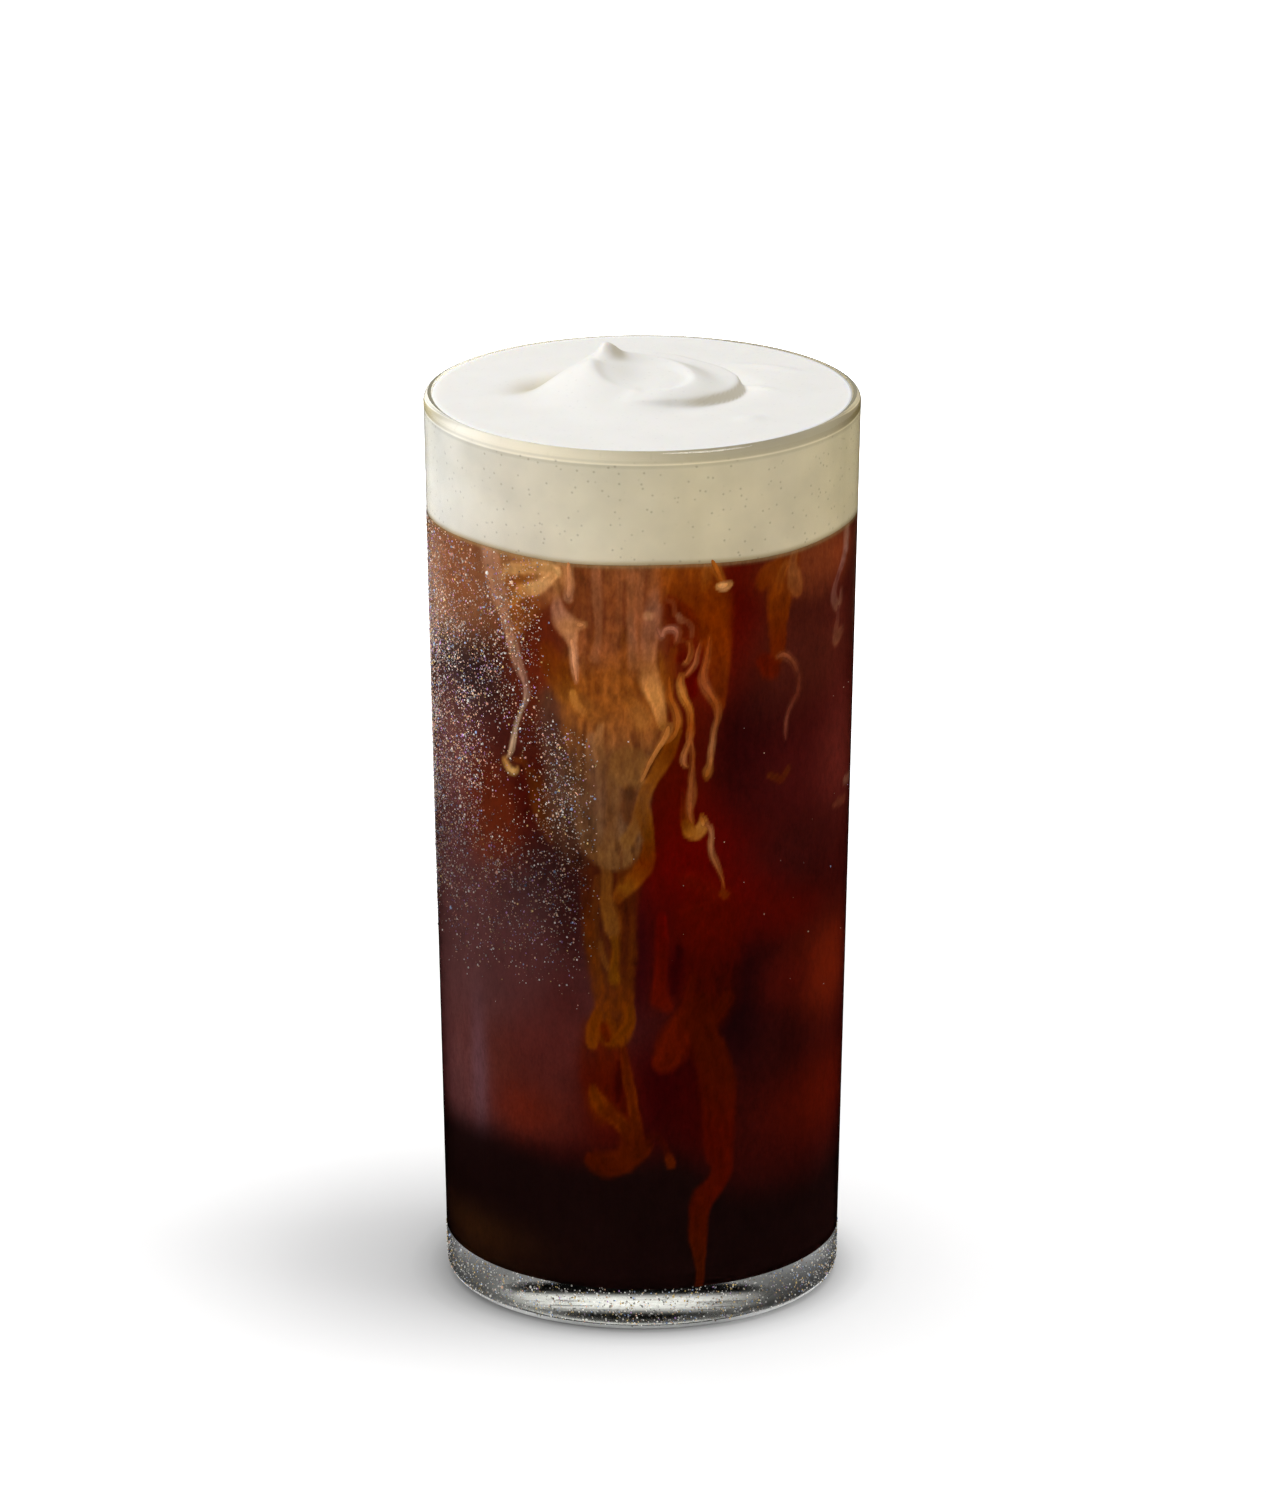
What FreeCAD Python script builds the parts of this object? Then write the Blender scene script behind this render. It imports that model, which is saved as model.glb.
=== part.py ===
"""Cold brew coffee in a tall straight-sided glass, filled to the brim under a layer of whipped cream.

Three pieces stand in one another: the clear glass, the coffee in it, and the cream that floats on the
coffee and stands a little above the lip, with a spooned swirl and its peak on top. Millimetres, +Z up.
The origin is the middle of the foot, on the table, and the front of the drink faces -Y.
"""
import FreeCAD, Part
import Sketcher
import math
import os
from FreeCAD import Vector

doc = FreeCAD.newDocument("cold_brew_coffee")


# ---- Driving sizes -------------------------------------------------------------------------------

SIZES = [
    ("glass_height", 161.5, "from the table to the top of the lip"),
    ("rim_diameter", 76.0, "outside, across the lip"),
    ("foot_diameter", 69.3, "outside, where the wall's line meets the table"),
    ("lip_thickness", 2.2, "the lip is fire-polished to a full round of this thickness"),
    ("wall_at_floor", 2.7, "the wall thickens downwards from the lip to this"),
    ("floor_thickness", 6.9, "the heavy base, from the table to the floor inside"),
    ("floor_corner_radius", 3.5, "between the floor and the wall, inside"),
    ("heel_radius", 2.5, "at the outside bottom edge"),
    ("foot_ring_width", 5.0, "the flat ring that the glass stands on"),
    ("punt_depth", 1.2, "the hollow under the base, at its middle"),
    ("cream_depth", 20.9, "from the top of the lip down to where the cream meets the coffee"),
    ("cream_edge_drop", 0.1, "how far below the top of the lip the cream's edge lies"),
    ("cream_crown", 0.55, "how much the cream stands up in the middle, apart from the swirl"),
    ("meeting_sag", 0.9, "the cream's underside hangs this much lower at the wall than in the middle"),
    ("meeting_ripple", 0.3, "height of the small waves in it"),
    ("swirl_radius", 18.0, "plan size of the swirl, from its middle to its outer ridge"),
    ("swirl_height", 7.3, "height of the swirl's peak above the cream around it"),
    ("surface_step", 1.5, "spacing of the points that the cream's surfaces pass through"),
]

sheet = doc.addObject("Spreadsheet::Sheet", "Sizes")
for row, (alias, value, meaning) in enumerate(SIZES, start=1):
    sheet.set(f"A{row}", meaning)
    sheet.set(f"B{row}", str(value))
    sheet.setAlias(f"B{row}", alias)
doc.recompute()


def size(alias):
    """The number in the sheet's cell of that name."""
    return float(sheet.get(alias))


# ---- Glass: a revolved wall with a rounded lip and a heavy base -----------------------------------

glass = doc.addObject("PartDesign::Body", "glass")
glass.Label = "glass"
section_plane = next(item for item in glass.Origin.OriginFeatures if item.Role == "XZ_Plane")
section = glass.newObject("Sketcher::SketchObject", "glass_section")
section.AttachmentSupport = [(section_plane, "")]
section.MapMode = "FlatFace"

foot_radius = size("foot_diameter") / 2
lip_radius = size("lip_thickness") / 2
lip_centre = Vector(size("rim_diameter") / 2 - lip_radius, size("glass_height") - lip_radius, 0)
ring_inner = foot_radius - size("heel_radius") - size("foot_ring_width")
punt_rise = size("punt_depth")
punt_radius = (ring_inner ** 2 + punt_rise ** 2) / (2 * punt_rise)
punt_centre = Vector(0, punt_rise - punt_radius, 0)
punt_half_angle = math.asin(ring_inner / punt_radius)
floor_height = size("floor_thickness")

# The closed outline: underside, foot ring, outer wall, lip, inner wall, floor and the axis.
PUNT, RING, OUTER_WALL, LIP, INNER_WALL, FLOOR, AXIS = range(7)
START, END, CENTRE = 1, 2, 3
LEVEL_AXIS, UPRIGHT_AXIS = -1, -2
foot_corner = Vector(foot_radius, 0, 0)
floor_corner = Vector(foot_radius - size("wall_at_floor"), floor_height, 0)
punt_circle = Part.Circle(punt_centre, Vector(0, 0, 1), punt_radius)
lip_circle = Part.Circle(lip_centre, Vector(0, 0, 1), lip_radius)
section.addGeometry([
    Part.ArcOfCircle(punt_circle, math.pi / 2 - punt_half_angle, math.pi / 2),
    Part.LineSegment(Vector(ring_inner, 0, 0), foot_corner),
    Part.LineSegment(foot_corner, lip_centre + Vector(lip_radius, 0, 0)),
    Part.ArcOfCircle(lip_circle, 0, math.pi),
    Part.LineSegment(lip_centre - Vector(lip_radius, 0, 0), floor_corner),
    Part.LineSegment(floor_corner, Vector(0, floor_height, 0)),
    Part.LineSegment(Vector(0, floor_height, 0), Vector(0, punt_rise, 0)),
], False)
for rule in [
    ("Coincident", PUNT, START, RING, START),
    ("Coincident", RING, END, OUTER_WALL, START),
    ("Tangent", OUTER_WALL, END, LIP, START),
    ("Tangent", LIP, END, INNER_WALL, START),
    ("Coincident", INNER_WALL, END, FLOOR, START),
    ("Coincident", FLOOR, END, AXIS, START),
    ("Coincident", AXIS, END, PUNT, END),
    ("PointOnObject", RING, START, LEVEL_AXIS),
    ("Horizontal", RING),
    ("Horizontal", FLOOR),
    ("Vertical", AXIS),
    ("PointOnObject", AXIS, START, UPRIGHT_AXIS),
    ("PointOnObject", PUNT, CENTRE, UPRIGHT_AXIS),
]:
    section.addConstraint(Sketcher.Constraint(*rule))

# Each measured distance carries a name and follows its cell.
ORIGIN = (-1, 1)
for name, rule, rule_from_sheet in [
    ("punt_rise", ("DistanceY", *ORIGIN, PUNT, END, punt_rise), "Sizes.punt_depth"),
    ("ring_start", ("DistanceX", *ORIGIN, RING, START, ring_inner),
     "Sizes.foot_diameter / 2 - Sizes.heel_radius - Sizes.foot_ring_width"),
    ("foot", ("DistanceX", *ORIGIN, RING, END, foot_radius), "Sizes.foot_diameter / 2"),
    ("lip_out", ("DistanceX", *ORIGIN, LIP, CENTRE, lip_centre.x),
     "Sizes.rim_diameter / 2 - Sizes.lip_thickness / 2"),
    ("lip_up", ("DistanceY", *ORIGIN, LIP, CENTRE, lip_centre.y),
     "Sizes.glass_height - Sizes.lip_thickness / 2"),
    ("lip_round", ("Radius", LIP, lip_radius), "Sizes.lip_thickness / 2"),
    ("floor_up", ("DistanceY", *ORIGIN, FLOOR, END, floor_height), "Sizes.floor_thickness"),
    ("wall", ("DistanceX", FLOOR, START, RING, END, size("wall_at_floor")), "Sizes.wall_at_floor"),
]:
    index = section.addConstraint(Sketcher.Constraint(*rule))
    section.renameConstraint(index, name)
    section.setExpression(f"Constraints.{name}", rule_from_sheet)
doc.recompute()

blown = glass.newObject("PartDesign::Revolution", "glass_turned")
blown.Profile = section
blown.ReferenceAxis = (section, ["V_Axis"])
blown.Angle = 360
doc.recompute()


def ring_edges(shape, radius, height):
    """Names of the circular edges about the upright axis at that radius and height."""
    names = []
    for number, edge in enumerate(shape.Edges, start=1):
        if edge.Degenerated or not isinstance(edge.Curve, Part.Circle):
            continue
        off_radius = abs(edge.Curve.Radius - radius)
        off_height = abs(edge.Curve.Center.z - height)
        if max(off_radius, off_height) < 1e-4:
            names.append(f"Edge{number}")
    return names


floor_edge = glass.newObject("PartDesign::Fillet", "floor_corner")
floor_edge.Base = (blown, ring_edges(blown.Shape, foot_radius - size("wall_at_floor"), floor_height))
floor_edge.setExpression("Radius", "Sizes.floor_corner_radius")
doc.recompute()
heel_edge = glass.newObject("PartDesign::Fillet", "heel")
heel_edge.Base = (floor_edge, ring_edges(floor_edge.Shape, foot_radius, 0))
heel_edge.setExpression("Radius", "Sizes.heel_radius")
glass.Tip = heel_edge
doc.recompute()


# ---- Room inside the glass: what the coffee and the cream fill ------------------------------------
# A cone runs up the middle of the glass wall, from inside the base to above the swirl. Cutting the
# glass from it leaves the room inside with the glass's own floor, corner, wall and lip.

blank = doc.addObject("Part::Cone", "inside_blank")
blank_foot = "Sizes.floor_thickness / 2"
wall_middle = "(Sizes.foot_diameter - Sizes.wall_at_floor) / 2"
lip_middle = "(Sizes.rim_diameter - Sizes.lip_thickness) / 2"
lip_level = "(Sizes.glass_height - Sizes.lip_thickness / 2)"
blank.setExpression("Placement.Base.z", blank_foot)
blank.setExpression("Height", f"Sizes.glass_height + 2 * Sizes.swirl_height - {blank_foot}")
blank.setExpression("Radius1", wall_middle)
blank.setExpression("Radius2", f"{wall_middle} + ({lip_middle} - {wall_middle})"
                    f" * (Sizes.glass_height + 2 * Sizes.swirl_height - {blank_foot})"
                    f" / ({lip_level} - {blank_foot})")
inside = doc.addObject("Part::Cut", "inside")
inside.Base = blank
inside.Tool = glass
doc.recompute()


# ---- Surfaces of the cream --------------------------------------------------------------------------

def bell(x, y, middle_x, middle_y, reach_x, reach_y, turn=0.0):
    """1 at the middle, falling to nothing over the two reaches; turned by that many degrees."""
    cosine, sine = math.cos(math.radians(turn)), math.sin(math.radians(turn))
    along = ((x - middle_x) * cosine + (y - middle_y) * sine) / reach_x
    across = ((y - middle_y) * cosine - (x - middle_x) * sine) / reach_y
    return math.exp(-along ** 2 - across ** 2)


def ease(share):
    """0 to 1 with a level start and end."""
    share = min(max(share, 0.0), 1.0)
    return share * share * (3 - 2 * share)


def fold(x, y, middle, bearings, radii, heights, inner, outer, fade, edge=2.0):
    """A ridge that winds clockwise about a middle, seen from above.

    Its crest runs from the first bearing to the second (degrees clockwise from +X) while its radius goes
    through the given values, evenly spaced, and its height from the first to the second. It falls off as a
    bell towards the middle, and outwards as a steeper one. Both ends fade out over an angle.
    """
    span = bearings[1] - bearings[0]
    bearing = math.degrees(math.atan2(middle[1] - y, x - middle[0])) - bearings[0]
    bearing = (bearing - span / 2 + 180) % 360 - 180 + span / 2
    share = min(max(bearing / span, -0.2), 1.2)
    place = min(max(share, 0.0), 1.0) * (len(radii) - 1)
    start = min(int(place), len(radii) - 2)
    crest = radii[start] + (radii[start + 1] - radii[start]) * (place - start)
    beyond = math.hypot(x - middle[0], y - middle[1]) - crest
    height = heights[0] + (heights[1] - heights[0]) * min(max(share, 0.0), 1.0)
    if beyond < 0:
        height *= math.exp(-(beyond / inner) ** 2)
    else:
        height *= math.exp(-(beyond / outer) ** edge)
    return height * ease((bearing + fade) / fade) * ease((span + fade - bearing) / fade)


# The spoon's turns, in millimetres for a swirl of radius 18: the inner ridge that starts at the peak and
# goes round the back and the right, the lip that closes the pocket at the front left, the broad outer
# ridge, and the trough at its foot. Each: middle, bearings, radii, heights, inner and outer fall, fade, edge.
FOLDS = [
    ((0.5, -3.0), (-128, 100), (10.2, 7.8), (1.5, 0.5), 1.6, 4.6, 25, 2.0),
    ((0.5, -3.0), (112, 195), (6.4, 10.0), (0.35, 0.8), 1.8, 2.0, 25, 2.0),
    ((1.0, -0.5), (-85, 72), (18.0, 16.3, 15.8, 13.4, 12.2), (1.8, 0.8), 5.4, 0.9, 42, 3.0),
    ((1.0, -0.5), (-46, 66), (17.6, 17.6, 16.0, 14.4, 13.6), (-0.6, -0.4), 1.0, 2.6, 30, 2.0),
]
# Soft humps and hollows: the slope under the peak, the peak, the pocket, the hollows at the left, and the
# small lumps at the right. Each: middle, reaches, height, turn.
HUMPS = [
    (-9.0, 1.5, 6.5, 8.0, 1.9, -15),
    (-6.9, 5.8, 1.0, 1.5, 1.35, 20),
    (-5.4, 5.3, 1.5, 1.4, 1.05, 0),
    (0.4, -2.0, 5.2, 5.5, -0.55, 0),
    (-18.2, 5.4, 5.2, 3.0, -1.6, 50),
    (-20.0, -1.0, 6.0, 3.0, -0.5, -30),
    (18.7, -17.5, 2.2, 1.8, 0.45, 0),
    (22.3, 15.0, 4.5, 1.2, 0.5, -20),
    (20.0, 2.5, 3.5, 1.0, 0.35, -35),
]
DRAWN_RADIUS = 18.0
DRAWN_HEIGHT = 7.3
MOUND_MIDDLE = (-0.8, -2.0)
MOUND_RADIUS = 13.4
MOUND_LEAN = 1.8
MOUND_HEIGHT = 3.0
MOUND_TILT = 0.075


def swirl(x, y):
    """Height of the swirl at a point seen from above, over the cream around it."""
    widen = size("swirl_radius") / DRAWN_RADIUS
    x, y = x / widen, y / widen
    across, back = x - MOUND_MIDDLE[0], y - MOUND_MIDDLE[1]
    reach = MOUND_RADIUS + MOUND_LEAN * math.cos(math.atan2(back, across) - 2.7)
    height = (MOUND_HEIGHT + MOUND_TILT * back) * math.exp(-(math.hypot(across, back) / reach) ** 3.6)
    height += sum(fold(x, y, *turn) for turn in FOLDS)
    height += sum(hump[4] * bell(x, y, *hump[:4], hump[5]) for hump in HUMPS)
    return height * size("swirl_height") / DRAWN_HEIGHT


def cream_top(x, y):
    """The cream's upper surface: level with the lip at the edge, a low crown, and the swirl."""
    edge_radius = size("rim_diameter") / 2 - lip_radius
    crown = size("cream_crown") * (1 - (x * x + y * y) / edge_radius ** 2)
    return size("glass_height") - size("cream_edge_drop") + crown + swirl(x, y)


def meeting_level(x, y):
    """Where the cream meets the coffee: hanging a little lower towards the wall, with small waves."""
    edge_radius = size("rim_diameter") / 2
    across, back = x / edge_radius, y / edge_radius
    middle = size("glass_height") - size("cream_depth") + size("meeting_sag")
    waves = math.sin(5 * across + 2 * back) * math.cos(4 * back - 2 * across + 1)
    return middle - size("meeting_sag") * (across ** 2 + back ** 2) ** 2 + size("meeting_ripple") * waves


def space_under(name, height):
    """A solid whose top is a smooth surface through the heights over a square grid of points."""
    step = size("surface_step")
    count = math.ceil((size("rim_diameter") / 2 + step) / step)
    places = [step * number for number in range(-count, count + 1)]
    surface = Part.BSplineSurface()
    surface.interpolate([[Vector(x, y, height(x, y)) for y in places] for x in places])
    solid = surface.toShape().extrude(Vector(0, 0, -size("glass_height")))
    space = doc.addObject("Part::Feature", name)
    space.Shape = solid
    return space


under_swirl = space_under("space_under_swirl", cream_top)
under_meeting = space_under("space_under_meeting", meeting_level)


# ---- Coffee: fills the glass from its floor up to the cream ------------------------------------------

coffee = doc.addObject("Part::Common", "coffee")
coffee.Label = "coffee"
coffee.Base = inside
coffee.Tool = under_meeting
doc.recompute()


# ---- Cream: floats on the coffee, touches the wall all round and stands above the lip ----------------

cream_and_coffee = doc.addObject("Part::Common", "cream_and_coffee")
cream_and_coffee.Base = inside
cream_and_coffee.Tool = under_swirl
cream = doc.addObject("Part::Cut", "cream")
cream.Label = "cream"
cream.Base = cream_and_coffee
cream.Tool = under_meeting
doc.recompute()


# ---- Checks and the files ----------------------------------------------------------------------------

for item in doc.Objects:
    if {"Invalid", "Error"} & set(item.State):
        raise RuntimeError(f"{item.Name} did not build: {item.State}")
pieces = [glass, coffee, cream]
for piece in pieces:
    if piece.Shape.isNull() or not piece.Shape.isValid() or len(piece.Shape.Solids) != 1:
        raise RuntimeError(f"{piece.Label} is not one sound solid")

os.makedirs("parts", exist_ok=True)
for piece in pieces:
    piece.Shape.exportStep(f"parts/{piece.Label}.step")
    box = piece.Shape.BoundBox
    print(f"{piece.Label}: {piece.Shape.Volume / 1000:.1f} ml, z {box.ZMin:.2f} to {box.ZMax:.2f} mm,"
          f" {box.XLength:.2f} mm wide")
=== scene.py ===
"""Cold brew coffee in a tall straight-sided glass, under a layer of softly whipped cream.

The drink is put together in the order it is served: the empty glass, the coffee with cream sinking
through it, the whipped cream with its spooned swirl, and the fine beads of water that settle on the cold
glass. Metres, in the frame of the CAD model: +Z up, the front of the drink faces -Y.
"""

import math

import bpy
import numpy as np
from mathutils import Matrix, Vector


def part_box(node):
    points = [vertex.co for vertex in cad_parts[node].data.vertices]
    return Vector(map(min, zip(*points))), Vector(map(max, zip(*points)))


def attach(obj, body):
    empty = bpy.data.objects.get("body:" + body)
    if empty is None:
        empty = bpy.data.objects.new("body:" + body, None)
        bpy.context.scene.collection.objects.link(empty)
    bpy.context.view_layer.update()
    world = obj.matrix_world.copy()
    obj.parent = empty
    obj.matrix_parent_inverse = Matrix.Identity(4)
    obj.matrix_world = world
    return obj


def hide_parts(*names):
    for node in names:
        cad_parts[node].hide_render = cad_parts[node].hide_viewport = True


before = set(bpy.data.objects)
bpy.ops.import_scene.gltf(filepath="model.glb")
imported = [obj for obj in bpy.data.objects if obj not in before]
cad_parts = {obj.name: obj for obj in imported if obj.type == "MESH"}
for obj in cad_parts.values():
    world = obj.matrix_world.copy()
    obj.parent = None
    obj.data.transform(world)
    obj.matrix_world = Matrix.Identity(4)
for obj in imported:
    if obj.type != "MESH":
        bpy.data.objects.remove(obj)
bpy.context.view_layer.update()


# ==== Glass ==========================================================================================
# A tumbler of clear soda-lime glass, blown in a mould: the lip is fire-polished to a full round, the wall
# thickens downwards, and the heavy base has a shallow hollow under it inside a flat ring to stand on.

MM = 0.001
ROUND = 2 * math.pi
GLASS_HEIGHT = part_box("glass")[1].z
RIM_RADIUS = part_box("glass")[1].x
FLOOR_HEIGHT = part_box("coffee")[0].z
FOOT_RADIUS = 34.65 * MM
LIP_RADIUS = 1.1 * MM
LIP_LEVEL = GLASS_HEIGHT - LIP_RADIUS
LIP_MIDDLE = RIM_RADIUS - LIP_RADIUS
WALL_AT_FLOOR = 2.7 * MM
FLOOR_CORNER = 3.5 * MM
HEEL_RADIUS = 2.5 * MM
RING_WIDTH = 5.0 * MM
PUNT_DEPTH = 1.2 * MM
GLASS_AROUND = 288
BODY_TINT = (0.985, 0.995, 0.985)
TRAPPED_TINT = (0.42, 0.37, 0.22, 1)


def outer_wall(z):
    """Outside radius at a height: a straight taper from the foot to the widest line of the lip."""
    return FOOT_RADIUS + (RIM_RADIUS - FOOT_RADIUS) * z / LIP_LEVEL


def inner_wall(z):
    """Inside radius at a height: the outside less a wall that thins evenly from the floor to the lip."""
    share = (z - FLOOR_HEIGHT) / (LIP_LEVEL - FLOOR_HEIGHT)
    return outer_wall(z) - WALL_AT_FLOOR - (2 * LIP_RADIUS - WALL_AT_FLOOR) * share


def arc(middle_r, middle_z, radius, first, last, count):
    """Points of a circular arc in the section, between two angles in degrees from the outward level line."""
    angle = np.radians(np.linspace(first, last, count))
    return np.stack([middle_r + radius * np.cos(angle), middle_z + radius * np.sin(angle)], -1)


def outward(angle):
    """Level unit vectors away from the axis, at angles round the glass from the front to the right."""
    return np.stack([np.sin(angle), -np.cos(angle)], -1)


def rings_at(radius, height, outwards):
    """Rings round the axis, an array of (ring, place round, xyz), from their radii and heights."""
    return np.concatenate([radius[..., None] * outwards, height[..., None] + 0 * outwards[..., :1]], -1)


def one_per_vertex(rings):
    """A list with one row per vertex: the first and the last ring lie on the axis and give one each."""
    return np.concatenate([rings[:1, 0], rings[1:-1].reshape(-1, 3), rings[-1:, 0]])


def in_scene(name, data):
    """A new object with the given data, linked to the scene."""
    thing = bpy.data.objects.new(name, data)
    bpy.context.scene.collection.objects.link(thing)
    return thing


def smooth_piece(name, points, faces):
    """A new object in the scene: a smooth-shaded mesh of the points and faces."""
    mesh = bpy.data.meshes.new(name)
    mesh.from_pydata(points.tolist(), [], faces)
    mesh.shade_smooth()
    return in_scene(name, mesh)


def closed_skin(name, rings):
    """A closed mesh from a stack of rings, an array of (ring, place round, xyz).

    Neighbouring rings are joined by quads all round, and the first and the last ring, which lie on the
    axis, shrink to one vertex each. Faces are turned outwards by the sign of the enclosed volume.
    """
    stack, around = rings.shape[0] - 2, rings.shape[1]
    points = one_per_vertex(rings)
    here = np.arange(around)
    after = (here + 1) % around
    level = 1 + around * np.arange(stack - 1)[:, None]
    quads = np.stack([level + here, level + after, level + around + after, level + around + here], -1)
    quads = quads.reshape(-1, 4)
    top = len(points) - 1
    last = 1 + around * (stack - 1)
    fans = np.concatenate([np.stack([0 * here, after + 1, here + 1], -1),
                           np.stack([top + 0 * here, last + here, last + after], -1)])
    halves = np.concatenate([fans, quads[:, [0, 1, 2]], quads[:, [0, 2, 3]]])
    corners = points[halves]
    volume = np.einsum("ij,ij->", corners[:, 0], np.cross(corners[:, 1], corners[:, 2]))
    if volume < 0:
        quads, fans = quads[:, ::-1], fans[:, ::-1]
    return smooth_piece(name, points, fans.tolist() + quads.tolist())


def glass_section():
    """The section from the middle of the underside out, up the wall, over the lip and back to the floor."""
    ring_outer = FOOT_RADIUS - HEEL_RADIUS
    ring_inner = ring_outer - RING_WIDTH
    across = np.linspace(0, ring_inner, 16)
    punt = np.stack([across, PUNT_DEPTH * (1 - (across / ring_inner) ** 2)], -1)
    ring = np.stack([np.linspace(ring_inner, ring_outer, 4), np.zeros(4)], -1)
    heel = arc(ring_outer, HEEL_RADIUS, HEEL_RADIUS, -90, 0, 14)
    climb = np.linspace(HEEL_RADIUS, LIP_LEVEL, 40)
    outside = np.stack([outer_wall(climb), climb], -1)
    lip = arc(LIP_MIDDLE, LIP_LEVEL, LIP_RADIUS, 0, 180, 24)
    fall = np.linspace(LIP_LEVEL, FLOOR_HEIGHT + FLOOR_CORNER, 40)
    inside = np.stack([inner_wall(fall), fall], -1)
    floor_edge = inner_wall(FLOOR_HEIGHT) - FLOOR_CORNER
    corner = arc(floor_edge, FLOOR_HEIGHT + FLOOR_CORNER, FLOOR_CORNER, 0, -90, 12)
    floor = np.stack([np.linspace(floor_edge, 0, 8), np.full(8, FLOOR_HEIGHT)], -1)
    return np.concatenate([punt, ring[1:-1], heel, outside[1:], lip[1:], inside[1:], corner[1:], floor[1:]])


def new_material(name, **constants):
    """A node material with constants on its Principled shader: returns it, its node tree and the shader.

    A space in a socket's name is written as an underscore.
    """
    material = bpy.data.materials.new(name)
    material.use_nodes = True
    shader = material.node_tree.nodes["Principled BSDF"]
    for socket, value in constants.items():
        shader.inputs[socket.replace("_", " ")].default_value = value
    return material, material.node_tree, shader


def add(tree, kind, inputs, **settings):
    """A new shader node. Each of its inputs is given by name or number: a socket is linked to it, and
    anything else is set as its value."""
    node = tree.nodes.new("ShaderNode" + kind)
    for name, value in settings.items():
        setattr(node, name, value)
    for name, value in inputs.items():
        if isinstance(value, bpy.types.NodeSocket):
            tree.links.new(value, node.inputs[name])
        else:
            node.inputs[name].default_value = value
    return node


def combined(tree, operation, *values, clamp=False):
    """A sum, product or other operation on values or sockets."""
    node = add(tree, "Math", dict(enumerate(values)), operation=operation, use_clamp=clamp)
    return node.outputs["Value"]


def mapped(tree, value, first, last, low=0.0, high=1.0, smooth=False):
    """A value mapped from one range to another and held at the ends, with eased ends when smooth."""
    limits = {"Value": value, "From Min": first, "From Max": last, "To Min": low, "To Max": high}
    kind = "SMOOTHSTEP" if smooth else "LINEAR"
    return add(tree, "MapRange", limits, interpolation_type=kind).outputs["Result"]


def scaled(tree, vector, factor):
    """A colour or vector times a factor."""
    return add(tree, "VectorMath", {0: vector, "Scale": factor}, operation="SCALE").outputs["Vector"]


def axes_of(tree, vector):
    """The X, Y and Z outputs of a vector."""
    return add(tree, "SeparateXYZ", {"Vector": vector}).outputs


def coordinates(tree, name="Object"):
    """A texture coordinate output."""
    return add(tree, "TexCoord", {}).outputs[name]


def let_lamps_through(tree, shader):
    """Clear glass throws hardly any shadow: a ray towards a lamp passes as through air.

    Light that has been mirrored inside the wall more than once comes out too, dim and olive.
    """
    path = add(tree, "LightPath", {}).outputs
    trapped = combined(tree, "GREATER_THAN", path["Glossy Depth"], 1.5)
    below = shader.outputs["BSDF"]
    for factor, tint in ((trapped, TRAPPED_TINT), (path["Is Shadow Ray"], (1, 1, 1, 1))):
        air = add(tree, "BsdfTransparent", {"Color": tint})
        below = add(tree, "MixShader", {"Fac": factor, 1: below, 2: air.outputs["BSDF"]}).outputs["Shader"]
    tree.links.new(below, tree.nodes["Material Output"].inputs["Surface"])


def base_roughness_and_shade(tree, shader):
    """The underside is rubbed dull outside a polished patch, and painted shade darkens the base, more at the
    left.

    Roughness holds on the underside only, up to just over the hollow. The body's tint carries the painted
    shade: darkest there, it grows clearer within millimetres, stays darker at the left and is full above the
    floor.
    """
    place = coordinates(tree)
    polish = add(tree, "Mapping", {"Vector": place, "Location": (0.05, 0.9, 0),
                                   "Scale": (1 / 0.02, 1 / 0.0135, 0)}).outputs["Vector"]
    spread = add(tree, "VectorMath", {0: polish}, operation="LENGTH").outputs["Value"]
    rubbed = mapped(tree, spread, 0.75, 1.15, 0.1, 1.0, smooth=True)
    axes = axes_of(tree, place)
    worn = mapped(tree, axes["Z"], 1.25 * MM, 1.4 * MM, 0.4, 0.0)
    tree.links.new(combined(tree, "MULTIPLY", worn, rubbed), shader.inputs["Roughness"])
    # Painted shade: the tint is darker at the left and darkest on the underside.
    left_painted_shade = mapped(tree, axes["X"], -0.032, 0.0, 0.72, 1.0, smooth=True)
    dim = mapped(tree, axes["Z"], 1.8 * MM, 3.0 * MM, 0.42, left_painted_shade)
    above = mapped(tree, axes["Z"], 7.0 * MM, 8.5 * MM)
    clearer = combined(tree, "MAXIMUM", dim, above)
    tree.links.new(scaled(tree, BODY_TINT, clearer), shader.inputs["Base Color"])


clear_glass, tree, shader = new_material("clear_glass", Roughness=0.0, IOR=1.5, Transmission_Weight=1.0,
                                         Specular_IOR_Level=0.25)
base_roughness_and_shade(tree, shader)
let_lamps_through(tree, shader)

section = glass_section()
glass_angle = np.arange(GLASS_AROUND) * ROUND / GLASS_AROUND
glass = closed_skin("tumbler", rings_at(section[:, 0, None], section[:, 1, None], outward(glass_angle)))
glass.data.materials.append(clear_glass)
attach(glass, "root")
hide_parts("glass")


# ==== Coffee ==========================================================================================
# Cold brew fills the glass up to the cream: a clear red-brown drink, nearly black where it is deep. Cream
# sinks through it in veils and threads, pale at the wall, golden and then red the deeper they hang.

WALL_BITE = 0.05 * MM
CREAM_DEPTH = 20.9 * MM
MEETING_SAG = 0.9 * MM
MEETING_RIPPLE = 0.3 * MM
COFFEE_AROUND = 420
COFFEE_ROWS = 234
FLOOR_ROWS = 40
FRONT_REACH = 70           # degrees either way with the columns close together
BACK_FROM = 74             # bearing at which the paint of the back starts to blend in
WALL_SPREAD = 0.605        # millimetres of wall in a degree of bearing
LATTICE = 64               # cells of noise before it repeats


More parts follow.
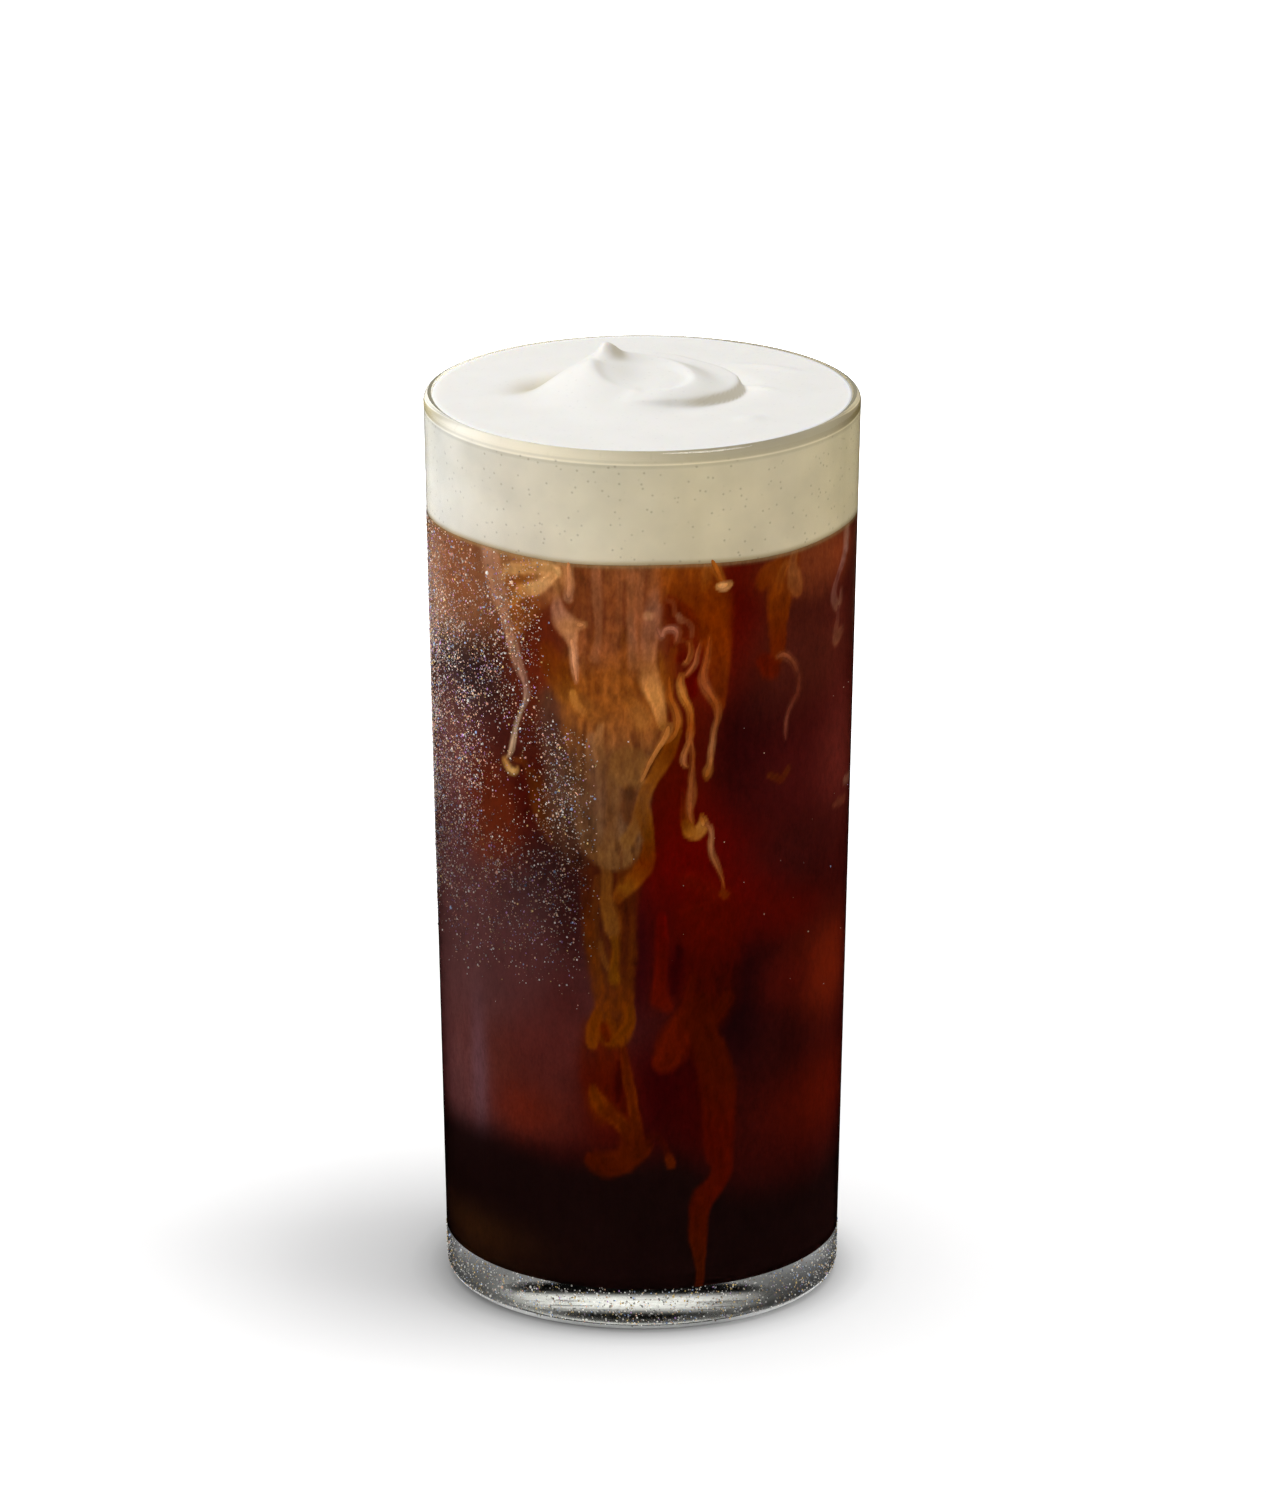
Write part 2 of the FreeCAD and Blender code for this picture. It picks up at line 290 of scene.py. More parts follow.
def meeting_level(x, y):
    """Where the cream meets the coffee: hanging a little lower towards the wall, with small waves."""
    across, back = x / RIM_RADIUS, y / RIM_RADIUS
    middle = GLASS_HEIGHT - CREAM_DEPTH + MEETING_SAG
    waves = np.sin(5 * across + 2 * back) * np.cos(4 * back - 2 * across + 1)
    return middle - MEETING_SAG * (across ** 2 + back ** 2) ** 2 + MEETING_RIPPLE * waves


def linear(red, green, blue):
    """A colour given as display values from 0 to 255, in linear light."""
    share = np.array([red, green, blue]) / 255
    return np.where(share <= 0.04045, share / 12.92, ((share + 0.055) / 1.055) ** 2.4)


def blend(under, over, share):
    """A colour laid over another: the share of the upper one is given for each place."""
    return under * (1 - share[..., None]) + over * share[..., None]


def drift(u, v, seed):
    """Smooth noise from 0 to 1: random values on a square lattice, eased between its corners."""
    lattice = np.random.default_rng(seed).random((LATTICE, LATTICE))
    column, line = np.floor(u).astype(int), np.floor(v).astype(int)
    u, v = u - column, v - line
    u, v = u * u * (3 - 2 * u), v * v * (3 - 2 * v)
    column, line, right, over = (cell % LATTICE for cell in (column, line, column + 1, line + 1))
    low = lattice[line, column] * (1 - u) + lattice[line, right] * u
    high = lattice[over, column] * (1 - u) + lattice[over, right] * u
    return low * (1 - v) + high * v


def wisps(u, v, seed):
    """Three octaves of drift, from 0 to 1."""
    return (4 * drift(u, v, seed) + 2 * drift(2.1 * u, 2.1 * v, seed + 1)
            + 1.5 * drift(4.3 * u, 4.3 * v, seed + 2)) / 7.5


def eased(share):
    """0 to 1 with a level start and end."""
    share = np.clip(share, 0, 1)
    return share * share * (3 - 2 * share)


# The glows are painted light and shade within the drink: red where light shines through it, dark where none
# does; the greyer mauve ones on the left carry a painted haze of light scattered by the dew.
# Glows: bearing, height, reach across and up in millimetres, turn in degrees, colour, strength.
GLOWS = [
    (-78, 130, 14, 12, 0, (200, 144, 108), 1),
    (-60, 134, 9, 11, 0, (148, 88, 54), 1),
    (-44, 134, 6, 9, 0, (142, 88, 56), 0.9),
    (-62, 116, 13, 7, -8, (54, 42, 46), 0.95),
    (-47, 118, 7, 7, 0, (44, 28, 28), 0.9),
    (-70, 104, 12, 10, 0, (118, 72, 66), 0.9),
    (-66, 96, 9, 9, 0, (110, 66, 62), 0.9),
    (-66, 82, 16, 12, 0, (92, 51, 49), 0.95),
    (-49, 96, 7, 10, 10, (98, 32, 12), 0.9),
    (-50, 88, 6, 6, 0, (112, 48, 24), 0.8),
    (-43, 90, 7, 7, 0, (94, 32, 8), 0.9),
    (-33, 99, 4, 12, 0, (62, 8, 4), 0.95),
    (-38, 109, 6, 5, 0, (66, 24, 20), 0.85),
    (-27, 84, 6, 8, 0, (46, 20, 17), 0.9),
    (-36, 78, 7, 6, 0, (60, 34, 34), 0.8),
    (-58, 62, 28, 20, 0, (84, 50, 49), 0.9),
    (-38, 66, 9, 9, 0, (78, 42, 41), 0.85),
    (-21, 76, 4, 10, 0, (44, 16, 14), 0.8),
    (-22, 60, 5, 8, 0, (62, 24, 22), 0.8),
    (-45, 45, 14, 9, 0, (88, 36, 24), 0.9),
    (-30, 50, 10, 12, 0, (76, 28, 24), 0.85),
    (-40, 39, 10, 5, 0, (90, 26, 12), 0.8),
    (-67, 40, 10, 14, 0, (90, 51, 50), 0.8),
    (-56, 44, 2.6, 13, 0, (96, 66, 74), 0.5),
    (-8, 128, 20, 20, 0, (112, 52, 22), 0.95),
    (-30, 124, 7, 12, -10, (96, 30, 12), 0.85),
    (10, 104, 8, 24, 0, (74, 9, 0), 0.9),
    (23, 127, 8, 16, 0, (96, 14, 0), 0.95),
    (29, 133, 5, 12, 0, (72, 2, 0), 0.85),
    (17, 84, 12, 14, 0, (86, 3, 0), 1),
    (30, 83, 9, 7, 0, (84, 4, 0), 0.9),
    (42, 75, 12, 5, -8, (77, 8, 2), 0.9),
    (31, 108, 7, 13, 6, (34, 3, 4), 0.97),
    (38, 113, 5, 5, 0, (40, 8, 7), 0.9),
    (55, 122, 14, 12, 0, (78, 28, 18), 0.9),
    (57, 137, 12, 5, 0, (120, 52, 24), 0.9),
    (52, 100, 14, 12, 0, (66, 15, 13), 0.9),
    (74, 100, 10, 13, 0, (84, 28, 21), 0.85),
    (52, 86, 14, 6, 0, (54, 13, 10), 0.9),
    (32, 58, 9, 12, 0, (22, 4, 6), 0.97),
    (66, 61, 13, 9, 0, (92, 23, 6), 0.95),
    (48, 62, 7, 5, 0, (70, 12, 6), 0.7),
    (46, 49, 8, 9, 0, (42, 9, 7), 0.85),
    (64, 38, 15, 8, 0, (70, 12, 3), 0.95),
    (5, 70, 9, 12, 0, (58, 6, 3), 0.9),
    (-1, 70, 2.4, 10, 0, (46, 5, 8), 0.9),
    (6, 45, 8, 10, 0, (44, 1, 3), 0.95),
    (-10, 44, 6, 10, 0, (68, 10, 2), 0.9),
    (16, 42, 5, 12, 0, (48, 3, 2), 0.9),
]
DEEP = (48, 9, 6)
DREGS = (19, 7, 6)
WARM_FOOT = (50, 27, 10)
TOP_STAIN = (140, 112, 74)

# Streams of cream, the deepest first. Stations are bearing, height, half width; then the colours along the
# stream, its strength, its fibres and the softness of its edge.
STREAMS = [
    # deep red streams low on the right
    ([(12, 84, 1), (17, 82.5, 1.6), (21, 81, 1.2)], [(92, 14, 0)], 0.7, 0.4, 1.2),
    ([(13, 78, 1), (18, 75.5, 1.8), (24, 73, 1.8)], [(94, 12, 0)], 0.7, 0.4, 1.2),
    ([(16, 78, 0.6), (21, 79, 0.7), (25, 80, 0.9)], [(100, 18, 0)], 0.6, 0.2, 1.2),
    ([(20, 74, 6.5), (19, 68, 6.0), (19, 62, 5.5), (18, 57, 3)], [(78, 8, 0), (62, 7, 0), (60, 9, 0)],
     0.85, 0.35, 0.4),
    ([(10.5, 71, 1.2), (10, 67, 1.7), (9.5, 63.5, 1.0)], [(46, 2, 3)], 0.9, 0, 0.8),
    ([(6, 77, 0.8), (5.6, 72, 1.1), (5.2, 66, 1.1), (5.2, 62, 1.6), (7.5, 60.3, 1.1)], [(84, 4, 0),
     (72, 7, 0), (86, 13, 0), (84, 14, 0)], 0.9, 0.2, 0.4),
    ([(15, 66, 0.5), (13.5, 61, 0.9), (12, 58, 1.6)], [(66, 10, 0), (76, 16, 0)], 0.8, 0.3, 0.5),
    ([(17, 59.5, 1.6), (12, 57, 2.4), (9.5, 53.5, 3.0), (7, 50.6, 2.3), (5, 50, 1.2)], [(66, 13, 0),
     (84, 17, 0), (80, 16, 0), (86, 18, 0)], 0.95, 0.3, 0.3),
    ([(13, 53, 0.8), (15.5, 50.5, 0.6), (18, 48, 0.5)], [(62, 9, 0)], 0.7, 0, 0.8),
    ([(25.5, 61, 1.4), (23.5, 59.3, 1.5), (20, 57, 1.6)], [(60, 11, 0)], 0.95, 0.2, 0.4),
    ([(17, 60, 2.4), (18.5, 55, 2.6), (21.5, 50, 3.0), (23, 45, 3.3), (23.3, 39, 3.1), (23.5, 34, 2.9),
     (24.5, 29.5, 2.2), (22.5, 26.5, 2.0), (18.5, 24, 2.2), (17, 20.5, 1.8), (17, 16.5, 1.7),
     (17.8, 13, 1.1), (18.2, 8, 0.6)], [(62, 11, 0), (66, 14, 0), (68, 13, 0), (74, 10, 0), (72, 11, 0),
     (74, 13, 0), (66, 14, 0), (66, 17, 0), (54, 15, 0)], 0.97, 0.25, 0.25),
    # fainter streams and curls at the far right
    ([(55, 141, 5), (56, 137, 5), (57, 133, 3)], [(120, 56, 26), (96, 40, 22)], 0.6, 0.5, 0.6),
    ([(35, 136, 1.4), (37, 138.2, 1.2), (41, 139, 1.0)], [(108, 40, 0), (124, 54, 12)], 0.85, 0.3, 0.5),
    ([(45, 142, 2.4), (43, 137, 3.0), (41, 132.5, 2.7), (40.5, 128, 2.1), (40.7, 124, 1.6),
     (40.5, 121.5, 1.2)], [(112, 44, 6), (120, 50, 4), (116, 44, 0), (100, 30, 0), (96, 30, 0)], 0.95,
     0.35, 0.25),
    ([(47, 141, 0.7), (45.5, 138, 1.1), (46.5, 134.5, 1.5), (48, 132.8, 0.9)], [(124, 62, 26),
     (142, 78, 36), (132, 66, 26)], 0.9, 0.2, 0.4),
    ([(43, 138.5, 0.8), (41, 136.5, 0.9), (40, 134, 0.7)], [(140, 70, 22), (124, 52, 6)], 0.8, 0.2, 0.6),
    ([(36, 122, 1.5), (38.5, 120, 1.7), (40.5, 119.6, 0.8)], [(88, 17, 0), (88, 20, 0)], 0.9, 0.2, 0.5),
    ([(40.5, 122, 0.5), (42.5, 122.1, 0.8), (45, 121.2, 0.7), (47.5, 119.3, 0.7), (49, 117, 0.8),
     (48.3, 114.5, 0.9), (46, 112.5, 0.8), (44.3, 110.3, 0.6), (43.9, 108, 0.6), (44.2, 106.3, 0.4)],
     [(116, 56, 28), (112, 54, 30), (84, 34, 20), (84, 33, 20), (98, 46, 32), (76, 26, 18)], 0.85,
     0.2, 0.6),
    ([(74, 141, 0.9), (73.6, 137.8, 1.0), (71, 135, 0.9), (68, 133, 0.7), (65.5, 131, 0.8),
     (65, 129, 0.9), (67, 127.3, 1.0), (69.3, 127.6, 0.8), (69.6, 129.5, 0.5)], [(134, 92, 70),
     (126, 84, 70), (104, 56, 46), (104, 60, 48), (112, 66, 46), (92, 48, 36)], 0.85, 0.2, 0.6),
    ([(68.5, 127, 0.5), (68.3, 124.5, 0.6), (67.3, 122.5, 1.1), (67, 121, 1.0), (70, 121.6, 1.0),
     (72.4, 122.2, 0.5)], [(84, 38, 30), (98, 50, 34), (112, 62, 40), (84, 40, 28)], 0.85, 0.1, 0.6),
    ([(38.2, 100.4, 0.5), (40.2, 99.8, 0.6), (42.3, 99.3, 0.6), (44, 99.9, 0.6), (45.6, 100.8, 0.6)],
     [(84, 34, 6), (84, 28, 4), (90, 36, 8)], 0.85, 0, 0.6),
    ([(68.5, 90.4, 0.3), (73, 90.2, 0.6), (79, 90, 0.7)], [(100, 48, 30)], 0.6, 0, 0.8),
    ([(78, 93.4, 0.6), (84, 92.6, 0.8)], [(128, 82, 62)], 0.6, 0, 0.8),
    # loops below the column
    ([(-15, 56, 2), (-14.5, 50, 2.6), (-14, 44, 2.2), (-12, 40, 1.8)], [(78, 22, 0), (72, 12, 0),
     (80, 24, 0)], 0.7, 0.4, 0.5),
    ([(-8.5, 56, 2.2), (-8.5, 50, 2.3), (-7.5, 44, 2.2), (-6.5, 40, 2.2)], [(86, 24, 0), (74, 14, 0),
     (64, 10, 0)], 0.8, 0.4, 0.4),
    ([(-6.6, 50, 0.7), (-7, 46.5, 0.9), (-7.2, 43.2, 0.5)], [(50, 4, 2)], 0.85, 0, 0.6),
    ([(-14.4, 45, 0.7), (-13, 42.6, 1.5), (-10, 40.5, 1.6), (-6.5, 38.8, 1.5), (-3.8, 37, 1.5)],
     [(88, 34, 0), (96, 38, 0), (80, 26, 0), (86, 31, 0), (78, 24, 0)], 0.95, 0.3, 0.35),
    ([(-5.6, 53, 0.5), (-5, 49, 0.9), (-3.6, 44.8, 1.0), (-2.3, 41.5, 1.0), (-1.3, 38.5, 1.1),
     (-1.3, 35.5, 1.3)], [(80, 22, 0), (84, 27, 0), (88, 30, 0), (80, 25, 0), (66, 17, 0)], 0.95,
     0.3, 0.3),
    ([(2.6, 35, 0.6), (0.2, 34, 1.5), (-3, 32.6, 2.0), (-6.5, 31.6, 2.2), (-10, 31, 2.3),
     (-13, 31.2, 2.0), (-15.4, 31.8, 1.2)], [(56, 13, 0), (62, 16, 0), (74, 20, 0), (62, 15, 0),
     (66, 16, 0)], 0.97, 0.3, 0.25),
    ([(-5, 36.4, 0.9), (-5, 34, 1.3)], [(70, 19, 0)], 0.8, 0, 0.6),
    ([(1, 35.8, 0.5), (3, 36.6, 0.45), (5.2, 36.4, 0.45), (7, 34.6, 0.5), (8, 32.6, 0.6)], [(56, 12, 0),
     (50, 8, 0), (54, 10, 0)], 0.8, 0, 0.6),
    ([(8.2, 32.2, 0.8), (8.7, 31.2, 0.9)], [(78, 24, 0)], 0.95, 0, 0.5),
    # the main column
    ([(-8, 93, 5.5), (-8.5, 86, 5.4), (-9.5, 79, 4.7), (-9.5, 72, 4.6), (-8.8, 66, 3.9), (-8.2, 60, 3.4),
     (-8.4, 56.5, 3.6)], [(84, 40, 14), (72, 28, 6), (74, 28, 4), (80, 34, 3), (88, 38, 2), (98, 42, 0),
     (102, 45, 0)], 0.97, 0.65, 0.16),
    ([(-13, 59, 1.0), (-14.4, 56, 1.3), (-14.8, 53.8, 1.1), (-14.6, 52.6, 0.6)], [(98, 42, 0),
     (110, 50, 2)], 0.95, 0, 0.4),
    ([(-3.4, 60, 0.9), (-4, 57, 1.0), (-6, 55.2, 0.9), (-8.2, 54, 0.5)], [(94, 42, 0), (100, 44, 0)], 0.9,
     0, 0.4),
    ([(-11, 56.5, 0.8), (-10.3, 55.2, 0.9), (-9.6, 54, 0.4)], [(82, 20, 0)], 0.9, 0, 0.5),
    ([(1.5, 93, 0.8), (2.0, 90, 1.1), (0.8, 87, 1.5), (-2, 84.5, 1.5), (-4.8, 82.5, 1.4),
     (-6.8, 80.5, 0.8)], [(104, 56, 6), (102, 44, 0), (100, 36, 0), (116, 54, 4), (124, 68, 12),
     (92, 40, 4)], 0.97, 0.25, 0.3),
    ([(-4, 89, 0.9), (-5.2, 86, 1.0), (-6, 83.5, 0.6)], [(82, 34, 4)], 0.7, 0, 0.6),
    ([(-10.8, 90, 0.9), (-10.6, 86, 0.9), (-10.2, 82, 1.0), (-9.6, 78.5, 1.2), (-9, 75.5, 1.2),
     (-8.5, 73.6, 0.7)], [(112, 66, 28), (104, 58, 16), (108, 60, 16), (116, 68, 20), (112, 66, 24)],
     0.85, 0.2, 0.5),
    ([(-8, 73, 0.7), (-7.4, 70.5, 0.6), (-8, 67.5, 0.8), (-7.8, 65.5, 1.1)], [(96, 52, 4), (92, 48, 2),
     (104, 58, 2)], 0.85, 0.2, 0.6),
    ([(-12, 72, 0.4), (-11, 69.5, 0.5), (-9.8, 67.3, 0.35)], [(104, 58, 18)], 0.7, 0, 0.7),
    ([(-13, 84, 0.4), (-13.4, 78, 0.5), (-13, 71, 0.4), (-12.5, 64, 0.4)], [(92, 44, 10), (88, 40, 4)],
     0.6, 0.2, 0.8),
    ([(-4.6, 80, 0.5), (-4.4, 73, 0.5), (-4.8, 66, 0.5)], [(60, 20, 6)], 0.6, 0.2, 0.8),
    # the beige veil
    ([(-36, 104.5, 0.6), (-33.5, 102, 0.9), (-31, 99.5, 1.8), (-29.5, 96.5, 2.0), (-28, 93, 1.6),
     (-26.5, 90.5, 1.0)], [(84, 34, 8), (88, 36, 6), (92, 40, 6), (92, 44, 14), (80, 40, 20)], 0.9,
     0.35, 0.5),
    ([(-24, 115, 3.4), (-24, 110, 3.6), (-23.5, 104, 3.0), (-22.5, 98, 3.0), (-21.5, 92, 2.8),
     (-19, 87, 2.0)], [(94, 58, 40), (88, 54, 44), (100, 66, 50), (112, 76, 58), (92, 58, 40),
     (60, 30, 18)], 0.9, 0.5, 0.4),
    ([(-8, 120, 9.5), (-8.5, 113, 9), (-9, 106, 8.2), (-9.5, 99, 7.0), (-9, 93.5, 6.0),
     (-8.5, 90.6, 5.0)], [(132, 66, 14), (146, 82, 32), (112, 70, 38), (108, 72, 46), (104, 70, 44),
     (112, 72, 36)], 0.97, 0.7, 0.12),
    ([(-3.8, 105, 3.4), (-3.4, 102.8, 2.6), (-2.4, 101.8, 1.4)], [(122, 76, 34), (130, 84, 40)], 0.9,
     0.3, 0.2),
    ([(-3.4, 99.6, 1.5), (-3.8, 97.5, 1.5), (-3.6, 95, 0.9)], [(70, 32, 8), (84, 42, 14)], 0.85,
     0.2, 0.6),
    ([(-0.8, 98, 0.6), (-1.8, 94, 0.8), (-4, 91.2, 1.2)], [(112, 62, 20), (124, 78, 30)], 0.8, 0.2, 0.6),
    ([(-8.5, 103, 0.9), (-8, 98, 1.1), (-8.5, 93.5, 1.1), (-9.3, 91, 1.2)], [(116, 74, 36), (106, 64, 30),
     (114, 72, 36)], 0.7, 0.3, 0.7),
    ([(-14.5, 110, 0.7), (-14, 104, 0.8), (-13, 97, 0.9)], [(132, 88, 56), (116, 76, 50), (108, 70, 46)],
     0.7, 0.3, 0.7),
    ([(-11.5, 112, 0.5), (-12.5, 108.5, 0.9), (-11.5, 106, 0.7)], [(168, 112, 62), (140, 90, 48)], 0.6,
     0.3, 0.8),
    # golden shelf
    ([(-27, 124.5, 1.6), (-25, 121, 2.2), (-21.5, 118, 2.2), (-17, 115.5, 2.0), (-12, 113.5, 1.4)],
     [(108, 44, 6), (116, 52, 6), (138, 74, 18), (146, 84, 30), (140, 78, 28)], 0.85, 0.5, 0.5),
    ([(-17, 121.5, 2.4), (-12, 120, 2.8), (-7, 120, 2.4), (-4, 119, 1.8)], [(126, 58, 4), (122, 50, 0),
     (138, 66, 12), (126, 56, 0)], 0.8, 0.5, 0.6),
    ([(1, 126, 0.9), (1.4, 123, 1.5), (2.2, 120.5, 1.6), (3.6, 117.5, 1.5), (5, 114.6, 1.1),
     (5.6, 112, 0.7)], [(142, 84, 50), (180, 112, 58), (202, 132, 68), (210, 140, 70), (196, 128, 64),
     (150, 92, 36)], 0.9, 0.3, 0.4),
    ([(-4, 117, 0.8), (-2, 115, 1.4), (0, 113, 1.5)], [(158, 92, 34), (168, 104, 44)], 0.7, 0.4, 0.7),
    ([(-10, 115.6, 1.0), (-7, 117, 1.0), (-4, 116.4, 0.8)], [(146, 78, 22), (154, 86, 26)], 0.6,
     0.4, 0.8),
    ([(-19.4, 117.5, 0.6), (-18.4, 115.6, 0.7), (-16.4, 114.2, 0.6)], [(188, 120, 48), (164, 98, 40)],
     0.8, 0.1, 0.6),
    # right edge of the veil and its golden branch
    ([(7.5, 121, 0.5), (7.8, 117.5, 0.6), (9.4, 115, 0.7), (10.1, 112.8, 0.8), (9.3, 110.6, 0.7),
     (7, 108.8, 0.7)], [(124, 56, 8), (130, 64, 14), (142, 76, 24), (138, 74, 22), (112, 56, 10)], 0.85,
     0.2, 0.5),
    ([(7.4, 112, 0.8), (6.6, 110, 0.9), (4.4, 107.8, 0.8), (2.4, 105.6, 0.7), (0.8, 103.4, 0.6),
     (-0.4, 101.8, 0.5)], [(142, 84, 34), (150, 92, 40), (136, 82, 36), (132, 82, 38)], 0.9, 0.2, 0.4),
    ([(5.4, 108, 0.8), (3.4, 105.4, 1.0), (1.6, 103, 0.8)], [(84, 38, 4), (76, 34, 6)], 0.9, 0, 0.5),
    ([(10, 111, 0.9), (7.6, 107.6, 1.2), (5, 104.6, 1.2), (2.6, 101.8, 1.1), (0.6, 98.8, 1.1),
     (0.2, 96, 1.2), (1.4, 92.5, 1.1)], [(110, 52, 4), (102, 44, 0), (122, 62, 10), (124, 66, 14),
     (118, 66, 20), (112, 60, 12), (98, 48, 2)], 0.97, 0.25, 0.3),
    # the brown striated curtain at the top
    ([(-8, 142, 8.6), (-8, 134, 8.2), (-8.5, 126, 7.4), (-8.5, 121.5, 6)], [(134, 74, 36), (112, 56, 24),
     (128, 68, 34), (140, 76, 26)], 0.92, 0.9, 0.3),
    ([(-12.3, 141, 0.6), (-12.6, 135, 0.8), (-12.2, 129, 0.6), (-13, 124, 0.8)], [(152, 92, 58),
     (134, 78, 46), (138, 80, 46)], 0.7, 0.4, 0.7),
    ([(-2.8, 141, 0.8), (-3, 134, 0.8), (-2.6, 128, 0.7), (-2.2, 123, 0.8)], [(150, 88, 50),
     (136, 78, 42), (150, 94, 62), (154, 92, 48)], 0.7, 0.4, 0.7),
    ([(6.4, 141.5, 0.9), (4.6, 137.5, 1.1), (3.2, 133, 1.3), (2.2, 128.5, 1.4), (1.8, 124.5, 1.2)],
     [(150, 84, 40), (148, 82, 42), (148, 92, 64), (142, 86, 56), (146, 88, 50)], 0.85, 0.5, 0.5),
    ([(0.4, 141, 0.6), (-0.6, 134, 0.7), (-0.6, 128, 0.6)], [(156, 92, 54), (132, 74, 42)], 0.6,
     0.4, 0.7),
    ([(-6, 141, 0.5), (-6.4, 133, 0.5), (-6, 126, 0.5)], [(140, 78, 42), (116, 60, 28)], 0.6, 0.4, 0.7),
    ([(-16.6, 141, 0.8), (-15.6, 135, 0.9), (-15.4, 130, 0.6)], [(110, 52, 20), (118, 60, 28)], 0.7,
     0.4, 0.7),
    ([(1.7, 132, 0.6), (1.8, 131.6, 0.6)], [(190, 128, 84)], 0.8, 0, 0.8),
    ([(-20.4, 141, 0.9), (-20, 137.5, 0.8), (-20.6, 134.5, 0.8)], [(166, 108, 64), (152, 98, 66)], 0.85,
     0.2, 0.5),
    ([(-24, 134.5, 0.7), (-23.4, 132, 1.2), (-21.6, 130, 1.7), (-20.2, 128, 1.2), (-19.4, 126, 0.7),
     (-18.9, 123, 0.7), (-18.4, 119.6, 0.4)], [(150, 92, 64), (168, 110, 80), (184, 122, 76),
     (178, 118, 76), (178, 122, 84), (168, 106, 66)], 0.9, 0.3, 0.5),
    ([(-21, 129.4, 1.1), (-18.4, 129.8, 1.0), (-16.2, 130, 0.5)], [(180, 118, 72), (160, 102, 58)], 0.85,
     0.2, 0.6),
    # orange-brown curls on the right
    ([(13, 142, 4.6), (13.5, 137, 5.0), (18, 132, 4.0), (20.5, 127, 2.8), (21.5, 121, 1.7),
     (22, 115, 1.0)], [(134, 64, 12), (122, 50, 4), (118, 44, 0), (118, 42, 0), (112, 42, 4),
     (100, 34, 2)], 0.9, 0.45, 0.35),
    ([(18, 141.5, 0.7), (17.6, 138.5, 0.9), (17, 136.5, 0.5)], [(146, 78, 24), (132, 60, 8)], 0.7,
     0.3, 0.7),
    ([(8, 141.5, 1.2), (6.6, 138, 0.8), (5.6, 134.5, 0.5)], [(142, 70, 16), (126, 56, 14)], 0.8,
     0.3, 0.6),
    ([(7.5, 134.6, 1.0), (9.5, 132.4, 2.2), (11.8, 129.6, 2.2), (10.5, 126.6, 1.7), (10.6, 124.4, 1.2)],
     [(92, 22, 2), (92, 20, 0), (96, 26, 2), (88, 6, 0)], 0.9, 0.2, 0.5),
    ([(15.6, 121.8, 0.8), (13.6, 119.8, 1.2), (14, 117.6, 0.9)], [(86, 2, 0)], 0.9, 0, 0.5),
    ([(6.6, 134.8, 0.3), (8.4, 134.4, 0.4), (9, 132.2, 0.35)], [(124, 58, 26)], 0.6, 0, 0.7),
    ([(4.2, 129.8, 0.4), (5.4, 128.4, 0.5), (6.2, 129.4, 0.55), (8.2, 129.7, 0.6), (9.6, 128.9, 0.5),
     (9.4, 127.2, 0.35)], [(128, 74, 50), (140, 84, 60), (148, 88, 64), (116, 54, 24)], 0.85, 0, 0.6),
    ([(9.8, 131.9, 0.4), (10.6, 130.9, 0.5), (12.2, 130.6, 0.4), (13.4, 129.6, 0.45), (13.4, 128, 0.35)],
     [(140, 84, 54), (120, 56, 28), (118, 56, 28)], 0.8, 0, 0.6),
    ([(10.2, 130, 0.3), (10.2, 127.8, 0.3), (11.5, 127.2, 0.3), (12.8, 126.8, 0.3)], [(112, 46, 16)], 0.7,
     0, 0.7),
    ([(13, 127, 0.45), (13.2, 125.4, 0.5), (12.4, 123.8, 0.45), (11.8, 123.3, 0.5)], [(120, 54, 14),
     (138, 74, 32)], 0.85, 0, 0.6),
    ([(16.2, 127, 0.3), (15.2, 125, 0.4), (14.5, 123, 0.5), (13, 121.6, 0.5), (12, 120.9, 0.5)],
     [(112, 44, 10), (136, 72, 38), (126, 60, 22)], 0.85, 0, 0.6),
    ([(8.6, 126, 0.5), (8.2, 123, 0.5), (8.8, 120.5, 0.4)], [(118, 50, 8), (108, 40, 4)], 0.7, 0, 0.7),
    ([(18.9, 127.8, 0.4), (18.2, 124.4, 0.6), (17.1, 121, 0.8), (17.6, 119, 0.9), (19.6, 117, 0.8),
     (21.3, 115, 0.7), (21.4, 113, 0.6), (20.4, 110.4, 0.6), (19.8, 107.6, 0.6), (19.5, 104.8, 0.6),
     (18.8, 103.2, 0.9), (18.2, 102.2, 0.5)], [(120, 48, 6), (132, 62, 22), (134, 66, 30), (124, 58, 16),
     (120, 62, 26), (132, 80, 44), (128, 72, 28), (126, 66, 14)], 0.92, 0.15, 0.45),
    # the long bright thread with its hook
    ([(10.9, 121, 0.5), (10.6, 119.3, 0.7), (11.6, 117.2, 0.7), (13.1, 115.4, 0.6), (13.9, 113.2, 0.6),
     (13.7, 110.5, 0.6), (13.2, 108.6, 0.5), (12, 106.6, 0.5), (11.8, 105.1, 0.5), (12.6, 104.4, 0.4)],
     [(132, 66, 20), (162, 98, 38), (152, 84, 26), (124, 56, 10), (132, 72, 30), (136, 78, 40),
     (124, 66, 26)], 0.95, 0.1, 0.4),
    ([(13.8, 109.4, 0.4), (14.4, 107, 0.45), (14.3, 104.6, 0.45), (13.9, 102, 0.6), (13.7, 99, 0.8),
     (13.5, 96, 0.6), (14.2, 94, 0.5)], [(120, 60, 24), (112, 52, 16), (118, 60, 24), (122, 62, 26),
     (118, 56, 14)], 0.92, 0.1, 0.5),
    ([(11.2, 100, 0.3), (11.6, 97, 0.4), (12.4, 94.4, 0.7)], [(86, 18, 0), (102, 38, 0)], 0.7, 0, 0.7),
    ([(12.6, 93.8, 0.9), (14, 92.2, 1.2), (16, 92.1, 1.2), (17.4, 93.5, 0.9), (16.9, 95.2, 0.35)],
     [(112, 52, 2), (150, 86, 22), (156, 94, 32), (156, 96, 38), (124, 60, 10)], 0.97, 0.1, 0.35),
